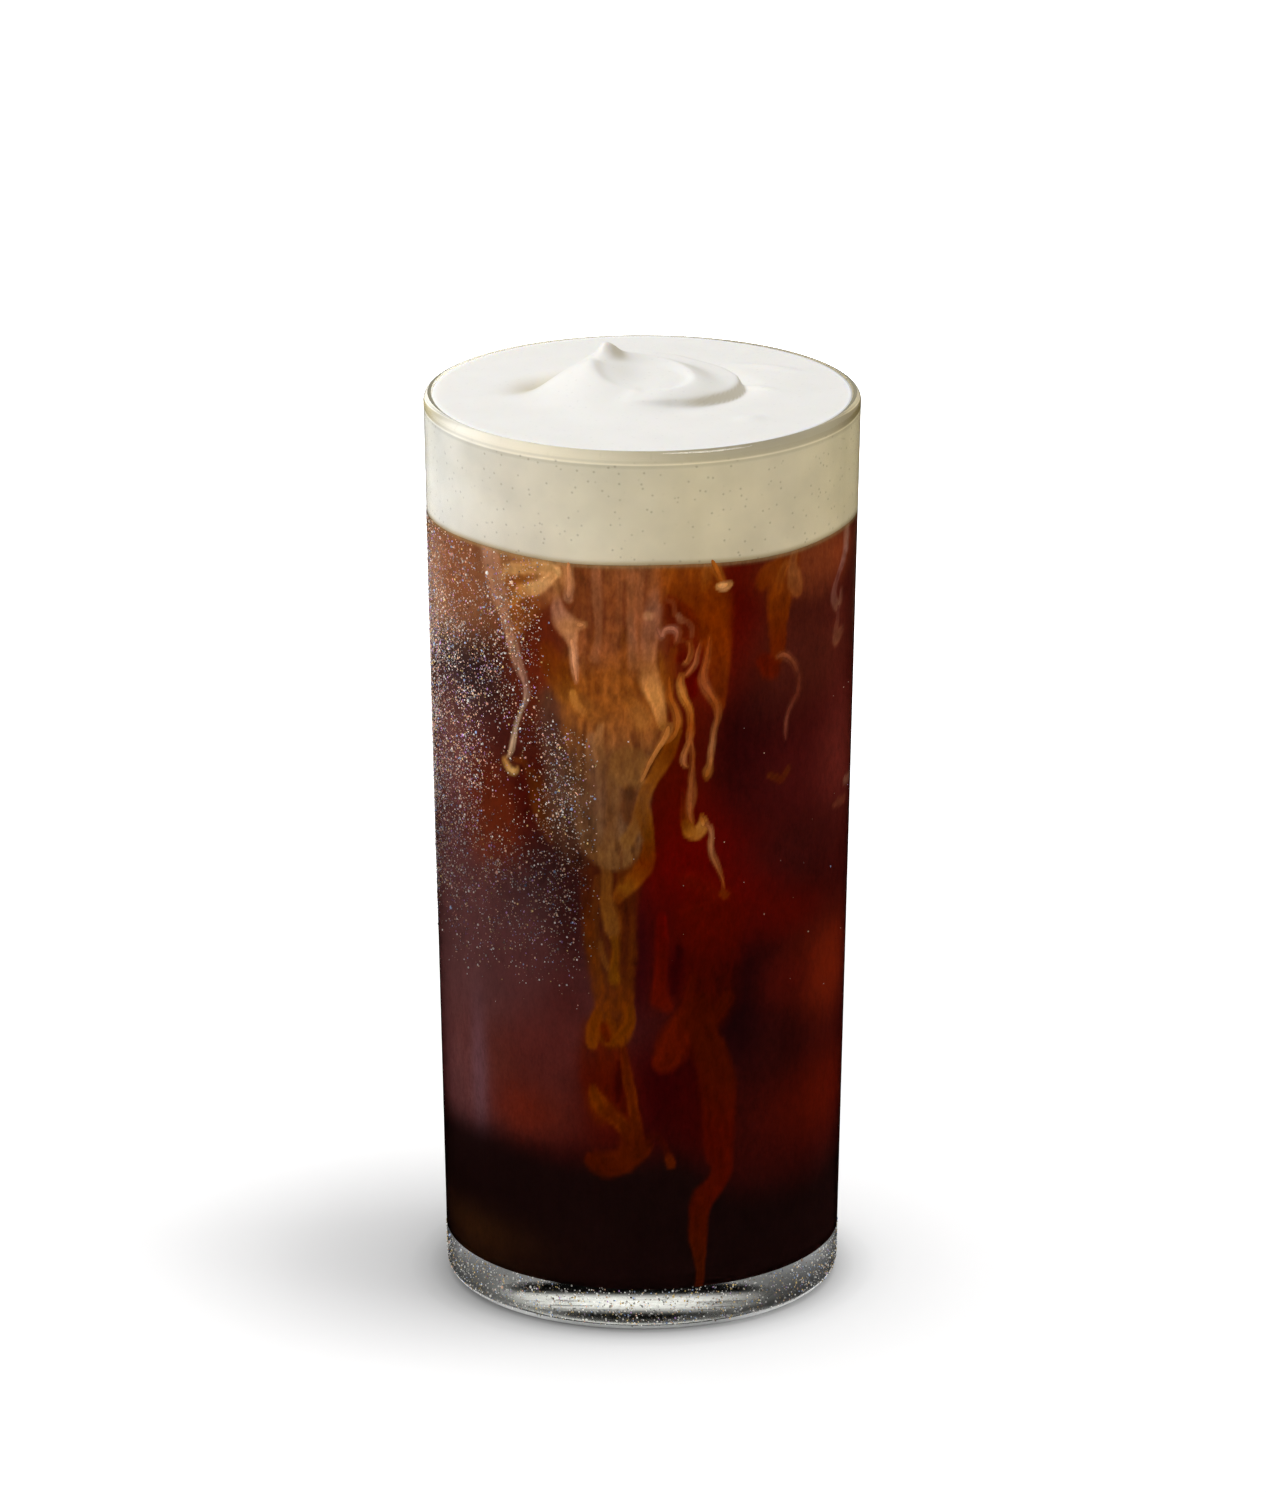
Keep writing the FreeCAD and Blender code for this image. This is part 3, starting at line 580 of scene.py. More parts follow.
    ([(17.6, 93.8, 0.3), (19.4, 92.9, 0.45), (20, 91, 0.45), (19.9, 89, 0.5), (20.6, 87, 0.5),
     (22.2, 85, 0.35), (23.6, 83, 0.3), (24.2, 81.2, 0.4)], [(120, 60, 24), (136, 82, 48), (130, 76, 42),
     (118, 58, 22), (102, 34, 4)], 0.92, 0, 0.5),
    ([(23.8, 80.6, 0.6), (25, 80, 0.6)], [(110, 40, 2)], 0.85, 0, 0.7),
    # the short hook under the cream
    ([(19.2, 141.5, 0.8), (20.4, 140, 0.8), (21.6, 138.4, 0.7), (22.2, 137.4, 0.6)], [(140, 76, 22),
     (132, 66, 14), (128, 62, 14)], 0.95, 0, 0.4),
    ([(21, 136.7, 0.6), (22.4, 136.6, 0.85), (24, 136.8, 0.6)], [(176, 118, 62), (196, 138, 82),
     (172, 112, 58)], 0.97, 0, 0.4),
    # golden crumple at the upper left, and the thin thread
    ([(-38, 142, 6.0), (-36, 136, 5.4), (-37, 131, 3.4), (-38, 127, 1.6), (-37.6, 125.4, 0.8)],
     [(182, 122, 76), (164, 94, 38), (156, 84, 32), (172, 102, 50), (134, 70, 32)], 0.9, 0.5, 0.35),
    ([(-30, 142, 5), (-28, 138.5, 4.4), (-27, 136.4, 2.4)], [(174, 116, 66), (164, 104, 56)], 0.85,
     0.6, 0.4),
    ([(-41, 136.4, 0.8), (-38.5, 138, 1.1), (-35, 138.6, 1.0), (-31, 139.4, 1.0), (-27, 139.3, 1.1),
     (-24, 139, 0.9)], [(194, 138, 82), (210, 156, 96), (206, 146, 82), (212, 154, 92), (214, 160, 98)],
     0.85, 0.3, 0.5),
    ([(-39.5, 136.2, 0.8), (-36, 136.4, 0.9), (-32, 137.2, 0.7)], [(136, 72, 20), (148, 82, 28)], 0.8,
     0.2, 0.6),
    ([(-41, 131, 0.8), (-38, 132.4, 0.9), (-35, 134.2, 1.1), (-31, 135.3, 1.2), (-28, 136.6, 1.1),
     (-25, 138.2, 0.8)], [(170, 102, 44), (190, 118, 50), (212, 142, 70), (232, 174, 108),
     (222, 164, 104), (204, 142, 84)], 0.92, 0.3, 0.4),
    ([(-40.6, 134.4, 0.8), (-40.4, 132.6, 0.7)], [(136, 74, 26)], 0.7, 0, 0.7),
    ([(-33, 133, 1.4), (-29, 133.8, 1.4), (-26, 135.6, 1.0)], [(124, 60, 28), (130, 70, 40)], 0.7,
     0.4, 0.6),
    ([(-46.6, 141.5, 1.9), (-45.2, 137.5, 1.9), (-43.6, 134.2, 1.8), (-42, 131.4, 1.5),
     (-40.4, 128.8, 1.1), (-39, 126, 1.0), (-37.6, 123.4, 1.1), (-36.2, 120.8, 0.9), (-34.8, 118.4, 0.7),
     (-34, 116.4, 0.7), (-34.6, 114.6, 0.45), (-36, 112.3, 0.4), (-37.4, 109.8, 0.45),
     (-38.6, 107.4, 0.5), (-39.6, 105.4, 0.6), (-40.7, 104, 0.35)], [(176, 124, 96), (174, 120, 88),
     (180, 126, 92), (182, 124, 90), (184, 132, 102), (160, 112, 88), (136, 94, 78), (150, 112, 92),
     (156, 124, 98), (152, 126, 100), (176, 142, 112), (160, 122, 88)], 0.92, 0.3, 0.4),
    ([(-42, 103.3, 0.6), (-41.2, 102.4, 0.7), (-40, 101.6, 0.8), (-38.6, 101.4, 0.8), (-37.6, 102, 0.4)],
     [(156, 104, 52), (166, 118, 64), (186, 144, 84), (160, 108, 54)], 0.97, 0, 0.4),
    ([(-38.6, 103.6, 0.4), (-36.6, 103.4, 0.5)], [(120, 56, 14)], 0.6, 0, 0.8),
]


def smooth_path(stations, count):
    """A line through the given stations: each column follows a Catmull-Rom curve."""
    stations = np.array(stations, float)
    start_pad, end_pad = 2 * stations[:1] - stations[1:2], 2 * stations[-1:] - stations[-2:-1]
    padded = np.concatenate([start_pad, stations, end_pad])
    place = np.linspace(0, len(stations) - 1, count)
    start = np.minimum(place.astype(int), len(stations) - 2)
    t = (place - start)[:, None]
    before, first, second, after = (padded[start + step] for step in range(4))
    return 0.5 * (2 * first + (second - before) * t + (2 * before - 5 * first + 4 * second - after) * t ** 2
                  + (3 * first - before - 3 * second + after) * t ** 3)


def along_stream(colours, share):
    """The colour at a share of a stream's length, blended between the colours given along it."""
    tint = np.array([linear(*colour) for colour in colours])
    place = share * (len(colours) - 1)
    low = np.minimum(place.astype(int), max(len(colours) - 2, 0))
    high = np.minimum(low + 1, len(colours) - 1)
    return tint[low] + (tint[high] - tint[low]) * (place - low)[:, None]


def paint(bearing, height):
    """Colour of the drink at the wall, in linear light, at bearings in degrees and heights in millimetres.

    Dark coffee first, then each glow as an oval bell, the dark settled at the foot and a slow cloud of
    noise. Over these lies each stream: full inside its half width, fading over its soft edge, parted into
    strands of noise that run along it. Small streams are paler at their edges than in the middle.
    """
    across = bearing * WALL_SPREAD
    wobble_x = across + 0.9 * (wisps(across / 3.5 + 40, height / 5 + 7, 71) - 0.5)
    wobble_y = height + 0.9 * (wisps(across / 4 + 3, height / 4 + 31, 72) - 0.5)
    drink = np.broadcast_to(linear(*DEEP), across.shape + (3,)).copy()
    for at, level, reach_across, reach_up, turn, colour, strength in GLOWS:
        x, y = across - at * WALL_SPREAD, height - level
        cosine, sine = math.cos(math.radians(turn)), math.sin(math.radians(turn))
        along, over = (x * cosine + y * sine) / reach_across, (y * cosine - x * sine) / reach_up
        drink = blend(drink, linear(*colour), strength * np.exp(-(along ** 2 + over ** 2) ** 1.3))
    rightward = eased((across - 4) / 16)
    settled = 36.5 + 0.8 * np.sin(across / 7) - 5 * rightward
    drink = blend(drink, linear(*DREGS), 0.97 * eased((settled - height) / (8 + 4 * rightward)))
    warm = 0.7 * np.exp(-((across + 36) / 14) ** 2 - ((height - 13) / 4) ** 2)
    drink = blend(drink, linear(*WARM_FOOT), warm)
    cloud = wisps(across / 6 + 3, height / 9 + 5, 90)
    drink = drink * (0.86 + 0.28 * cloud)[..., None]
    stray = 1.4 * (wisps(across / 2.6 + 15, height / 4 + 2, 80) - 0.5)
    curdle = wisps(across / 0.9, height / 1.6, 95)
    for number, (stations, colours, strength, fibres, soft) in enumerate(STREAMS):
        path = smooth_path(stations, 40 * len(stations))
        line_x, line_y, half = path[:, 0] * WALL_SPREAD, path[:, 1], np.maximum(path[:, 2], 0.1)
        reach = half.max() * (1 + soft) + 1
        near = ((wobble_x > line_x.min() - reach) & (wobble_x < line_x.max() + reach)
                & (wobble_y > line_y.min() - reach) & (wobble_y < line_y.max() + reach))
        if not near.any():
            continue
        x, y = wobble_x[near], wobble_y[near]
        gap = np.hypot(x[:, None] - line_x, y[:, None] - line_y) - half
        closest = gap.argmin(1)
        run_x, run_y = np.gradient(line_x)[closest], np.gradient(line_y)[closest]
        side = ((x - line_x[closest]) * run_y - (y - line_y[closest]) * run_x) / np.hypot(run_x, run_y)
        edge = half[closest]
        share = closest / (len(path) - 1)
        length = np.hypot(np.diff(line_x), np.diff(line_y)).sum()
        beyond = gap[np.arange(len(x)), closest] / edge
        cover = strength * (1 - eased((beyond + soft) / (2 * soft)))
        strands = wisps((side + stray[near]) / 0.9 + 30, share * length / 8 + number, number)
        cover = cover * (1 - 0.5 * fibres * (1 - eased((strands - 0.28) / 0.4)))
        rim = eased((np.abs(side) / edge - 0.3) / 0.5) * np.exp(-(edge / 2.2) ** 2)
        colour = along_stream(colours, share) * (0.84 + 0.34 * rim)[:, None]
        shade = 1 + 1.4 * fibres * (strands - 0.5) + (0.3 + 0.9 * fibres) * (curdle[near] - 0.5)
        drink[near] = blend(drink[near], colour * shade[:, None], cover)
    return drink


def lit(angle):
    """How much more light falls on the left of the wall than on the right, at an angle round the glass."""
    return (0.93 + 0.49 * eased((-np.sin(angle) - 0.13) / 0.75))[..., None]


def underside_painted_light(x, y):
    """Colour of the coffee's underside, which the thick base mirrors: painted light, greys that are darker
    at the left as painted shade, with a brushed white bar as a painted reflection, brighter than white.
    """
    brush = wisps(x / 9 + 50, y / 0.9 + 12, 33)
    patch = wisps(x / 5 + 8, y / 4 + 2, 34)
    bar = np.exp(-((x + 2.5) / 14) ** 4 - ((y - 3.5) / 6.2) ** 4) * eased((brush - 0.18) / 0.26)
    dark = eased((-6 - x) / 14) * (1 - 0.5 * patch)
    grey = 0.016 * (0.6 + 0.8 * patch) * (1 - 0.75 * dark)
    return (grey * (1 - bar) + 2.7 * bar)[..., None] * np.array([1.0, 1.0, 0.97])


def colour_vertices(piece, name, colour, alpha=1.0):
    """Store a colour for each vertex, in linear light, under a name that a material can read."""
    layer = piece.data.color_attributes.new(name, "FLOAT_COLOR", "POINT")
    alpha = alpha + np.zeros((len(colour), 1))
    layer.data.foreach_set("color", np.concatenate([colour, alpha], 1).ravel())


def stored_colour(tree, name):
    """The outputs of a colour that is stored in the vertices."""
    return add(tree, "Attribute", {}, attribute_name=name).outputs


# The columns stand closer together at the front, where the finest threads hang.
front = np.linspace(-FRONT_REACH, FRONT_REACH, 310)
rest = np.linspace(FRONT_REACH, 360 - FRONT_REACH, COFFEE_AROUND - 308)[1:-1]
bearing = np.concatenate([front, rest])
bearing = np.where(bearing > 180, bearing - 360, bearing)[None, :]
rows = np.linspace(0, 1, COFFEE_ROWS)[:, None]
rows = rows + 0.32 * rows * (1 - rows)
wall_angle = np.radians(bearing)
wall_out = outward(wall_angle)
meeting_at = inner_wall(GLASS_HEIGHT - CREAM_DEPTH) * wall_out
coffee_top = meeting_level(meeting_at[..., 0], meeting_at[..., 1]) + 0.4 * MM
wall_foot = FLOOR_HEIGHT + FLOOR_CORNER
wall_z = wall_foot + (coffee_top - wall_foot) * rows

# At the back more cream of the same kind sinks, moved by slow noise so that it doesn't repeat, and softer
# by the width of the wider columns there.
sheet_z = wall_z / MM
drink = paint(bearing + 0 * sheet_z, sheet_z)
behind = np.flatnonzero(np.abs(bearing[0]) > BACK_FROM)
back_bearing = (bearing[:, behind] + 360) % 360 - 180
back_z = sheet_z[:, behind]
drift_round = np.cos(np.radians(back_bearing / 2))
sway = 24 * drift_round * (drift(back_bearing / 30 + 20 + 0 * back_z, back_z / 34, 5) - 0.5)
swell = 30 * drift_round * (drift(back_bearing / 40 + 9 + 0 * back_z, back_z / 40, 6) - 0.5) - 5
SIDE_STEPS = (-1.35, -0.8, -0.27, 0.27, 0.8, 1.35)
RISES = (-0.8, 0, 0.8)
back = sum(paint(back_bearing + sway + step, back_z + swell + rise) for step in SIDE_STEPS for rise in RISES)
back = back / (len(SIDE_STEPS) * len(RISES))
drink[:, behind] = blend(drink[:, behind], back, eased((np.abs(bearing[:, behind]) - BACK_FROM) / 58))

# The left is lit more than the right, so it is painted darker by as much, and the right flank is painted
# brighter as painted light; the cream stains the top edge.
painted_right_flank_light = 1 + 0.6 * eased((bearing - 50) / 27) * eased((150 - bearing) / 40)
drink = drink / lit(wall_angle) * painted_right_flank_light[..., None]
stain = 0.7 * eased((wall_z - coffee_top + 1.5 * MM) / (1.1 * MM)) ** 1.5
drink = blend(drink, linear(*TOP_STAIN), stain)

# The body: the painted wall, a rounded corner and a level floor below, and a lid that the cream hides.
floor_edge = inner_wall(FLOOR_HEIGHT) - FLOOR_CORNER
corner = arc(floor_edge, FLOOR_HEIGHT + FLOOR_CORNER, FLOOR_CORNER + WALL_BITE, -90, -6, 10)
flat_radius = np.linspace(0, floor_edge, FLOOR_ROWS + 1)[:-1]
foot = np.stack([flat_radius, np.full(FLOOR_ROWS, FLOOR_HEIGHT - WALL_BITE)], -1)
foot = np.concatenate([foot, corner])
low_rings = rings_at(foot[:, 0, None], foot[:, 1, None], wall_out)
wall_rings = rings_at(inner_wall(wall_z) + WALL_BITE, wall_z, wall_out)
lid_shares = np.array([0.9, 0.5, 0.0])[:, None, None]
lid_rings = wall_rings[-1:] * np.concatenate([lid_shares, lid_shares, 0 * lid_shares + 1], -1)
coffee = closed_skin("cold_brew", np.concatenate([low_rings, wall_rings, lid_rings]))

low_colour = drink[:1].repeat(len(foot), 0)
# The floor under the coffee carries painted light and shade, which the base mirrors.
low_colour[:FLOOR_ROWS] = underside_painted_light(low_rings[:FLOOR_ROWS, :, 0] / MM, low_rings[:FLOOR_ROWS, :, 1] / MM)
ring_colour = np.concatenate([low_colour, drink, drink[-1:].repeat(len(lid_rings), 0)])
colour_vertices(coffee, "drink", one_per_vertex(ring_colour))

cold_brew, tree, shader = new_material("cold_brew", Roughness=0.4, Specular_IOR_Level=0.0)
stretch = add(tree, "Mapping", {"Vector": coordinates(tree), "Scale": (1, 1, 0.45)}).outputs["Vector"]
haze = add(tree, "TexNoise", {"Vector": stretch, "Scale": 900, "Detail": 3}).outputs["Fac"]
strand = add(tree, "TexNoise", {"Vector": stretch, "Scale": 3000, "Detail": 2}).outputs["Fac"]
vary = mapped(tree, combined(tree, "ADD", haze, strand), 0.6, 1.4, 0.76, 1.24)
tree.links.new(scaled(tree, stored_colour(tree, "drink")["Color"], vary), shader.inputs["Base Color"])
coffee.data.materials.append(cold_brew)
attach(coffee, "root")
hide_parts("coffee")


# ==== Cream threads ===================================================================================
# Where a pale stream runs thin it is a thread of cream of its own, hanging half sunk in the face of the
# coffee: an eight-sided cord that thins to a point at both ends and wavers in width.

THREAD_SIDES = 8
THREAD_HALF_WIDTH = 0.95
SHORTEST_THREAD = 14
PALEST_NEEDED = 112

ring_turn = np.arange(THREAD_SIDES) * ROUND / THREAD_SIDES
thread_points, thread_faces, thread_colours = [], [], []
for stations, colours, strength, fibres, soft in STREAMS:
    if strength < 0.85 or soft > 0.65 or max(colour[0] for colour in colours) < PALEST_NEEDED:
        continue
    path = smooth_path(stations, 12 * len(stations))
    thin = path[:, 2] < THREAD_HALF_WIDTH
    if thin.sum() < SHORTEST_THREAD:
        continue
    first, last = np.flatnonzero(thin)[[0, -1]]
    if not thin[first:last + 1].all():
        first = last - np.argmin(thin[last::-1]) + 1
    share = np.arange(first, last + 1) / (len(path) - 1)
    path = path[first:last + 1]
    if len(path) < SHORTEST_THREAD:
        continue
    run = np.arange(len(path))
    taper = np.sqrt(np.clip(np.minimum(run, run[::-1]) / 5, 0.02, 1))
    half = 0.5 * path[:, 2] * taper * (0.85 + 0.3 * wisps(run / 6 + 3, run * 0 + 7, 44))
    angle, z = np.radians(path[:, 0]), path[:, 1] * MM
    across, climb = np.gradient(path[:, 0] * WALL_SPREAD), np.gradient(path[:, 1])
    pace = np.hypot(across, climb)
    sideways = (half / pace * climb)[:, None] * np.cos(ring_turn)
    upwards = -(half / pace * across)[:, None] * np.cos(ring_turn)
    outer_share = np.where(np.sin(ring_turn) > 0, 0.1, 0.3) * np.sin(ring_turn)
    proud = outer_share * (half / 0.5)[:, None].clip(0, 1.2)
    radius = (inner_wall(z) + WALL_BITE)[:, None] + proud * MM
    ring = rings_at(radius, z[:, None] + upwards * MM, outward(angle[:, None] + sideways * MM / radius))
    start = sum(len(points) for points in thread_points)
    side = np.arange(THREAD_SIDES)
    level = start + THREAD_SIDES * np.arange(len(path) - 1)[:, None]
    here, after = level + side, level + (side + 1) % THREAD_SIDES
    quads = np.stack([here, here + THREAD_SIDES, after + THREAD_SIDES, after], -1)
    end = start + THREAD_SIDES * (len(path) - 1)
    thread_faces += quads.reshape(-1, 4).tolist() + [(start + side).tolist(), (end + side[::-1]).tolist()]
    thread_points.append(ring.reshape(-1, 3))
    thread_colours.append((1.3 * along_stream(colours, share) / lit(angle)).repeat(THREAD_SIDES, 0))
threads = smooth_piece("cream_threads", np.concatenate(thread_points), thread_faces)
colour_vertices(threads, "drink", np.concatenate(thread_colours))
threads.data.materials.append(cold_brew)
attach(threads, "root")


# ==== Cream ===========================================================================================
# Softly whipped cream floats on the coffee, touches the glass all round and stands just over the lip. The
# last spoonful was turned clockwise into it: a low mound with a pocket, winding ridges and a small peak.

CREAM_AROUND = 360
CREAM_EDGE_DROP = 0.1 * MM
CREAM_CROWN = 0.55
CREAM_BITE = 1.2 * WALL_BITE
PORES_ON_TOP = 0.2         # how much the pores show on top, against down the side
BARE_SIDE_ROWS = 15        # rows below the top that look like it


def bell(x, y, middle_x, middle_y, reach_x, reach_y, turn):
    """1 at the middle, falling to nothing over the two reaches; turned by that many degrees."""
    cosine, sine = math.cos(math.radians(turn)), math.sin(math.radians(turn))
    along = ((x - middle_x) * cosine + (y - middle_y) * sine) / reach_x
    across = ((y - middle_y) * cosine - (x - middle_x) * sine) / reach_y
    return np.exp(-along ** 2 - across ** 2)


def fold(x, y, middle, bearings, radii, heights, inner, outer, fade, edge):
    """A ridge that winds clockwise about a middle, seen from above.

    Its crest runs from the first bearing to the second (degrees clockwise from +X) while its radius goes
    through the given values and its height from the first to the second. It falls off as a bell towards
    the middle, and outwards as a steeper one. Both ends fade out over an angle.
    """
    span = bearings[1] - bearings[0]
    way = np.degrees(np.arctan2(middle[1] - y, x - middle[0])) - bearings[0]
    way = (way - span / 2 + 180) % 360 - 180 + span / 2
    share = np.clip(way / span, -0.2, 1.2)
    crest = np.interp(share, np.linspace(0, 1, len(radii)), radii)
    beyond = np.hypot(x - middle[0], y - middle[1]) - crest
    height = heights[0] + (heights[1] - heights[0]) * np.clip(share, 0, 1)
    slope = np.where(beyond < 0, np.exp(-(beyond / inner) ** 2), np.exp(-(np.abs(beyond) / outer) ** edge))
    return height * slope * eased((way + fade) / fade) * eased((span + fade - way) / fade)


FOLDS = [
    ((0.5, -3.0), (-128, 100), (10.2, 7.8), (1.5, 0.5), 1.6, 4.6, 25, 2.0),
    ((0.5, -3.0), (112, 195), (6.4, 10.0), (0.35, 0.8), 1.8, 2.0, 25, 2.0),
    ((1.0, -0.5), (-85, 72), (18.0, 16.3, 15.8, 13.4, 12.2), (1.8, 0.8), 5.4, 0.9, 42, 3.0),
    ((1.0, -0.5), (-46, 66), (17.6, 17.6, 16.0, 14.4, 13.6), (-0.6, -0.4), 1.0, 2.6, 30, 2.0),
]
HUMPS = [
    (-9.0, 1.5, 6.5, 8.0, 1.9, -15),
    (-6.9, 5.8, 1.0, 1.5, 0.97, 20),
    (-5.4, 5.3, 1.5, 1.4, 1.05, 0),
    (0.4, -2.0, 5.2, 5.5, -0.55, 0),
    (-18.2, 5.4, 5.2, 3.0, -1.6, 50),
    (-20.0, -1.0, 6.0, 3.0, -0.5, -30),
    (18.7, -17.5, 2.2, 1.8, 0.45, 0),
    (22.3, 15.0, 4.5, 1.2, 0.5, -20),
    (20.0, 2.5, 3.5, 1.0, 0.35, -35),
]


def swirl(x, y):
    """Height of the swirl in millimetres at a point seen from above, over the cream around it."""
    across, back = x + 0.8, y + 2.0
    reach = 13.4 + 1.8 * np.cos(np.arctan2(back, across) - 2.7)
    height = (3.0 + 0.075 * back) * np.exp(-(np.hypot(across, back) / reach) ** 3.6)
    for turn in FOLDS:
        height = height + fold(x, y, *turn)
    for hump in HUMPS:
        height = height + hump[4] * bell(x, y, *hump[:4], hump[5])
    return height


cream_edge = GLASS_HEIGHT - CREAM_EDGE_DROP
edge_radius = LIP_MIDDLE - math.sqrt(LIP_RADIUS ** 2 - (cream_edge - LIP_LEVEL) ** 2) + 0.02 * MM
around = np.radians(np.arange(CREAM_AROUND) * 360 / CREAM_AROUND)[None, :]
outwards = outward(around)
top_radius = np.concatenate([np.linspace(0, 22, 74), np.linspace(22.5, 35.5, 22), [35.8, 36.1]]) * MM
top_radius = np.append(top_radius, edge_radius)[:, None]
x, y = top_radius * np.sin(around) / MM, -top_radius * np.cos(around) / MM
crown = CREAM_CROWN * (1 - (top_radius / LIP_MIDDLE) ** 2)
top_rings = rings_at(top_radius, cream_edge + (crown + swirl(x, y)) * MM, outwards)

lip = arc(LIP_MIDDLE, LIP_LEVEL, LIP_RADIUS - CREAM_BITE, 155, 180, 6)[1:]
lip_rings = rings_at(lip[:, 0, None], lip[:, 1, None], outwards)
underside_radius = inner_wall(GLASS_HEIGHT - CREAM_DEPTH)
under_edge = meeting_level(underside_radius * outwards[..., 0], underside_radius * outwards[..., 1])
drop = np.concatenate([np.linspace(0, 0.12, 25)[1:], np.linspace(0.15, 0.93, 22), np.linspace(0.95, 1, 8)])
side_z = LIP_LEVEL + (under_edge - LIP_LEVEL) * drop[:, None]
side_rings = rings_at(inner_wall(side_z) + CREAM_BITE, side_z, outwards)
under_radius = np.array([0.98, 0.7, 0.4, 0.0])[:, None] * underside_radius
under_z = meeting_level(under_radius * outwards[..., 0], under_radius * outwards[..., 1])
under_rings = rings_at(under_radius, under_z, outwards)
cream = closed_skin("whipped_cream", np.concatenate([top_rings, lip_rings, side_rings, under_rings]))

# Its colour on top: painted shade, warm grey, where the folds turn away from the light to the right, in the
# left hollow and on the peak's right face, and a painted highlight, white, at the brim.
slope = swirl(x + 0.2, y + 0.03) - swirl(x - 0.2, y - 0.03)
painted_fold_shade = 0.6 * eased((-slope / 0.4 - 0.1) / 0.8)
for hollow, share in (((-18.2, 4.8, 5.8, 2.8, 50), 0.7), ((-4.7, 4.8, 1.8, 1.5, -20), 0.45)):
    painted_fold_shade = np.maximum(painted_fold_shade, share * bell(x, y, *hollow))
top_tone = blend(linear(250, 247, 241), linear(190, 177, 142), painted_fold_shade)
top_tone = blend(top_tone, linear(255, 254, 251), eased((top_radius / MM - 35.4) / 0.6))

# Down the side, seen through the glass, it goes from near white on the left to beige on the right, with
# painted light in it: lighter at the outermost bearings and duller to the right as painted shade. Above lie
# the lip's lines as a painted highlight and a painted dark line, painted olive shade at the lip's ends on
# either side, and a stain of coffee below.
SIDE_TONES = {-180: (186, 177, 152), -86: (218, 215, 205), -70: (182, 180, 174), -40: (178, 171, 156),
              -15: (192, 183, 160), 15: (190, 178, 148), 40: (190, 178, 149), 70: (191, 178, 144),
              86: (218, 204, 166), 180: (186, 177, 152)}
side_bearing = (np.degrees(around[0]) + 180) % 360 - 180
tones = np.array([linear(*tone) for tone in SIDE_TONES.values()])
side_tone = np.stack([np.interp(side_bearing, list(SIDE_TONES), channel) for channel in tones.T], -1)
below = (LIP_LEVEL - side_z) / MM
right = eased((np.sin(around) + 0.7) / 1.2)
# Painted lines of the lip: a white painted highlight with a dark painted line just under it; near the lip
# the right is painted darker and the left lighter, as painted shade and light.
level = np.interp(below, (0, 1.1, 1.3, 1.45, 1.65, 1.9, 2.3, 6, 19),
                  (1.18, 1.22, 1.4, 1.4, 0.9, 0.88, 1.03, 1.09, 1.2))
level = level * (1 - 0.3 * right * eased((1.5 - below) / 0.3))
level = level * (1 + 0.22 * (1 - right) * eased((0.9 - below) / 0.3))
# Painted olive shade where the ends of the lip are seen, on either side.
ends = np.exp(-((np.abs(side_bearing) - 94) / 27) ** 4) * eased((1.5 - below) / 0.3)
side_colour = side_tone * level[..., None] * (1 - ends[..., None] * np.array([0.5, 0.56, 0.72]))
stain = 0.75 * eased((1.3 * MM - side_z + under_edge) / (1.2 * MM)) ** 1.6
side_colour = blend(side_colour, linear(150, 128, 88), stain)
lip_colour = side_colour[:1] * np.linspace(0.85, 1.0, len(lip))[:, None, None]
under_colour = side_colour[-1:].repeat(len(under_rings), 0)
cream_colour = one_per_vertex(np.concatenate([top_tone, lip_colour, side_colour, under_colour]))
pore_depth = np.ones((len(cream_colour), 1))
pore_depth[:1 + CREAM_AROUND * (len(top_rings) + BARE_SIDE_ROWS)] = PORES_ON_TOP
colour_vertices(cream, "tone", cream_colour, pore_depth)

whipped, tree, shader = new_material("whipped_cream", Roughness=0.45, Specular_IOR_Level=0.35,
                                     Subsurface_Weight=0.3, Subsurface_Radius=(1.0, 0.8, 0.5),
                                     Subsurface_Scale=0.0012)
place = coordinates(tree)
tone = stored_colour(tree, "tone")
pores = add(tree, "TexVoronoi", {"Vector": place, "Scale": 700}).outputs["Distance"]
pit = mapped(tree, pores, 0.08, 0.2, 0.7)
mottle = add(tree, "TexNoise", {"Vector": place, "Scale": 130, "Detail": 3}).outputs["Fac"]
blotch = mapped(tree, mottle, 0.3, 0.7, 0.95, 1.11)
both = combined(tree, "MULTIPLY", pit, blotch)
shown = add(tree, "Mix", {"A": 1.0, "B": both, "Factor": tone["Alpha"]}).outputs["Result"]
tree.links.new(scaled(tree, tone["Color"], shown), shader.inputs["Base Color"])
grain = add(tree, "TexNoise", {"Vector": place, "Scale": 1500, "Detail": 2}).outputs["Fac"]
bump = add(tree, "Bump", {"Height": grain, "Strength": 0.15, "Distance": 0.0001}).outputs["Normal"]
tree.links.new(bump, shader.inputs["Normal"])
cream.data.materials.append(whipped)
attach(cream, "root")
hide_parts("cream")


# ==== Dew on the wall =================================================================================
# The cold glass has drawn a dew of fine water drops, thickest on its upper left. Each is a low dome of water
# on the outside of the wall, coloured with a painted glint of one tint; the finest are a mist between the
# others.

DROP_SIDES = 5
DROP_POINTS = 2 * DROP_SIDES + 2
WALL_LEVELS = (20, 141)
GLINTS = [(255, 252, 246), (236, 196, 166), (214, 160, 142),
          (196, 150, 214), (170, 196, 240), (244, 214, 140)]


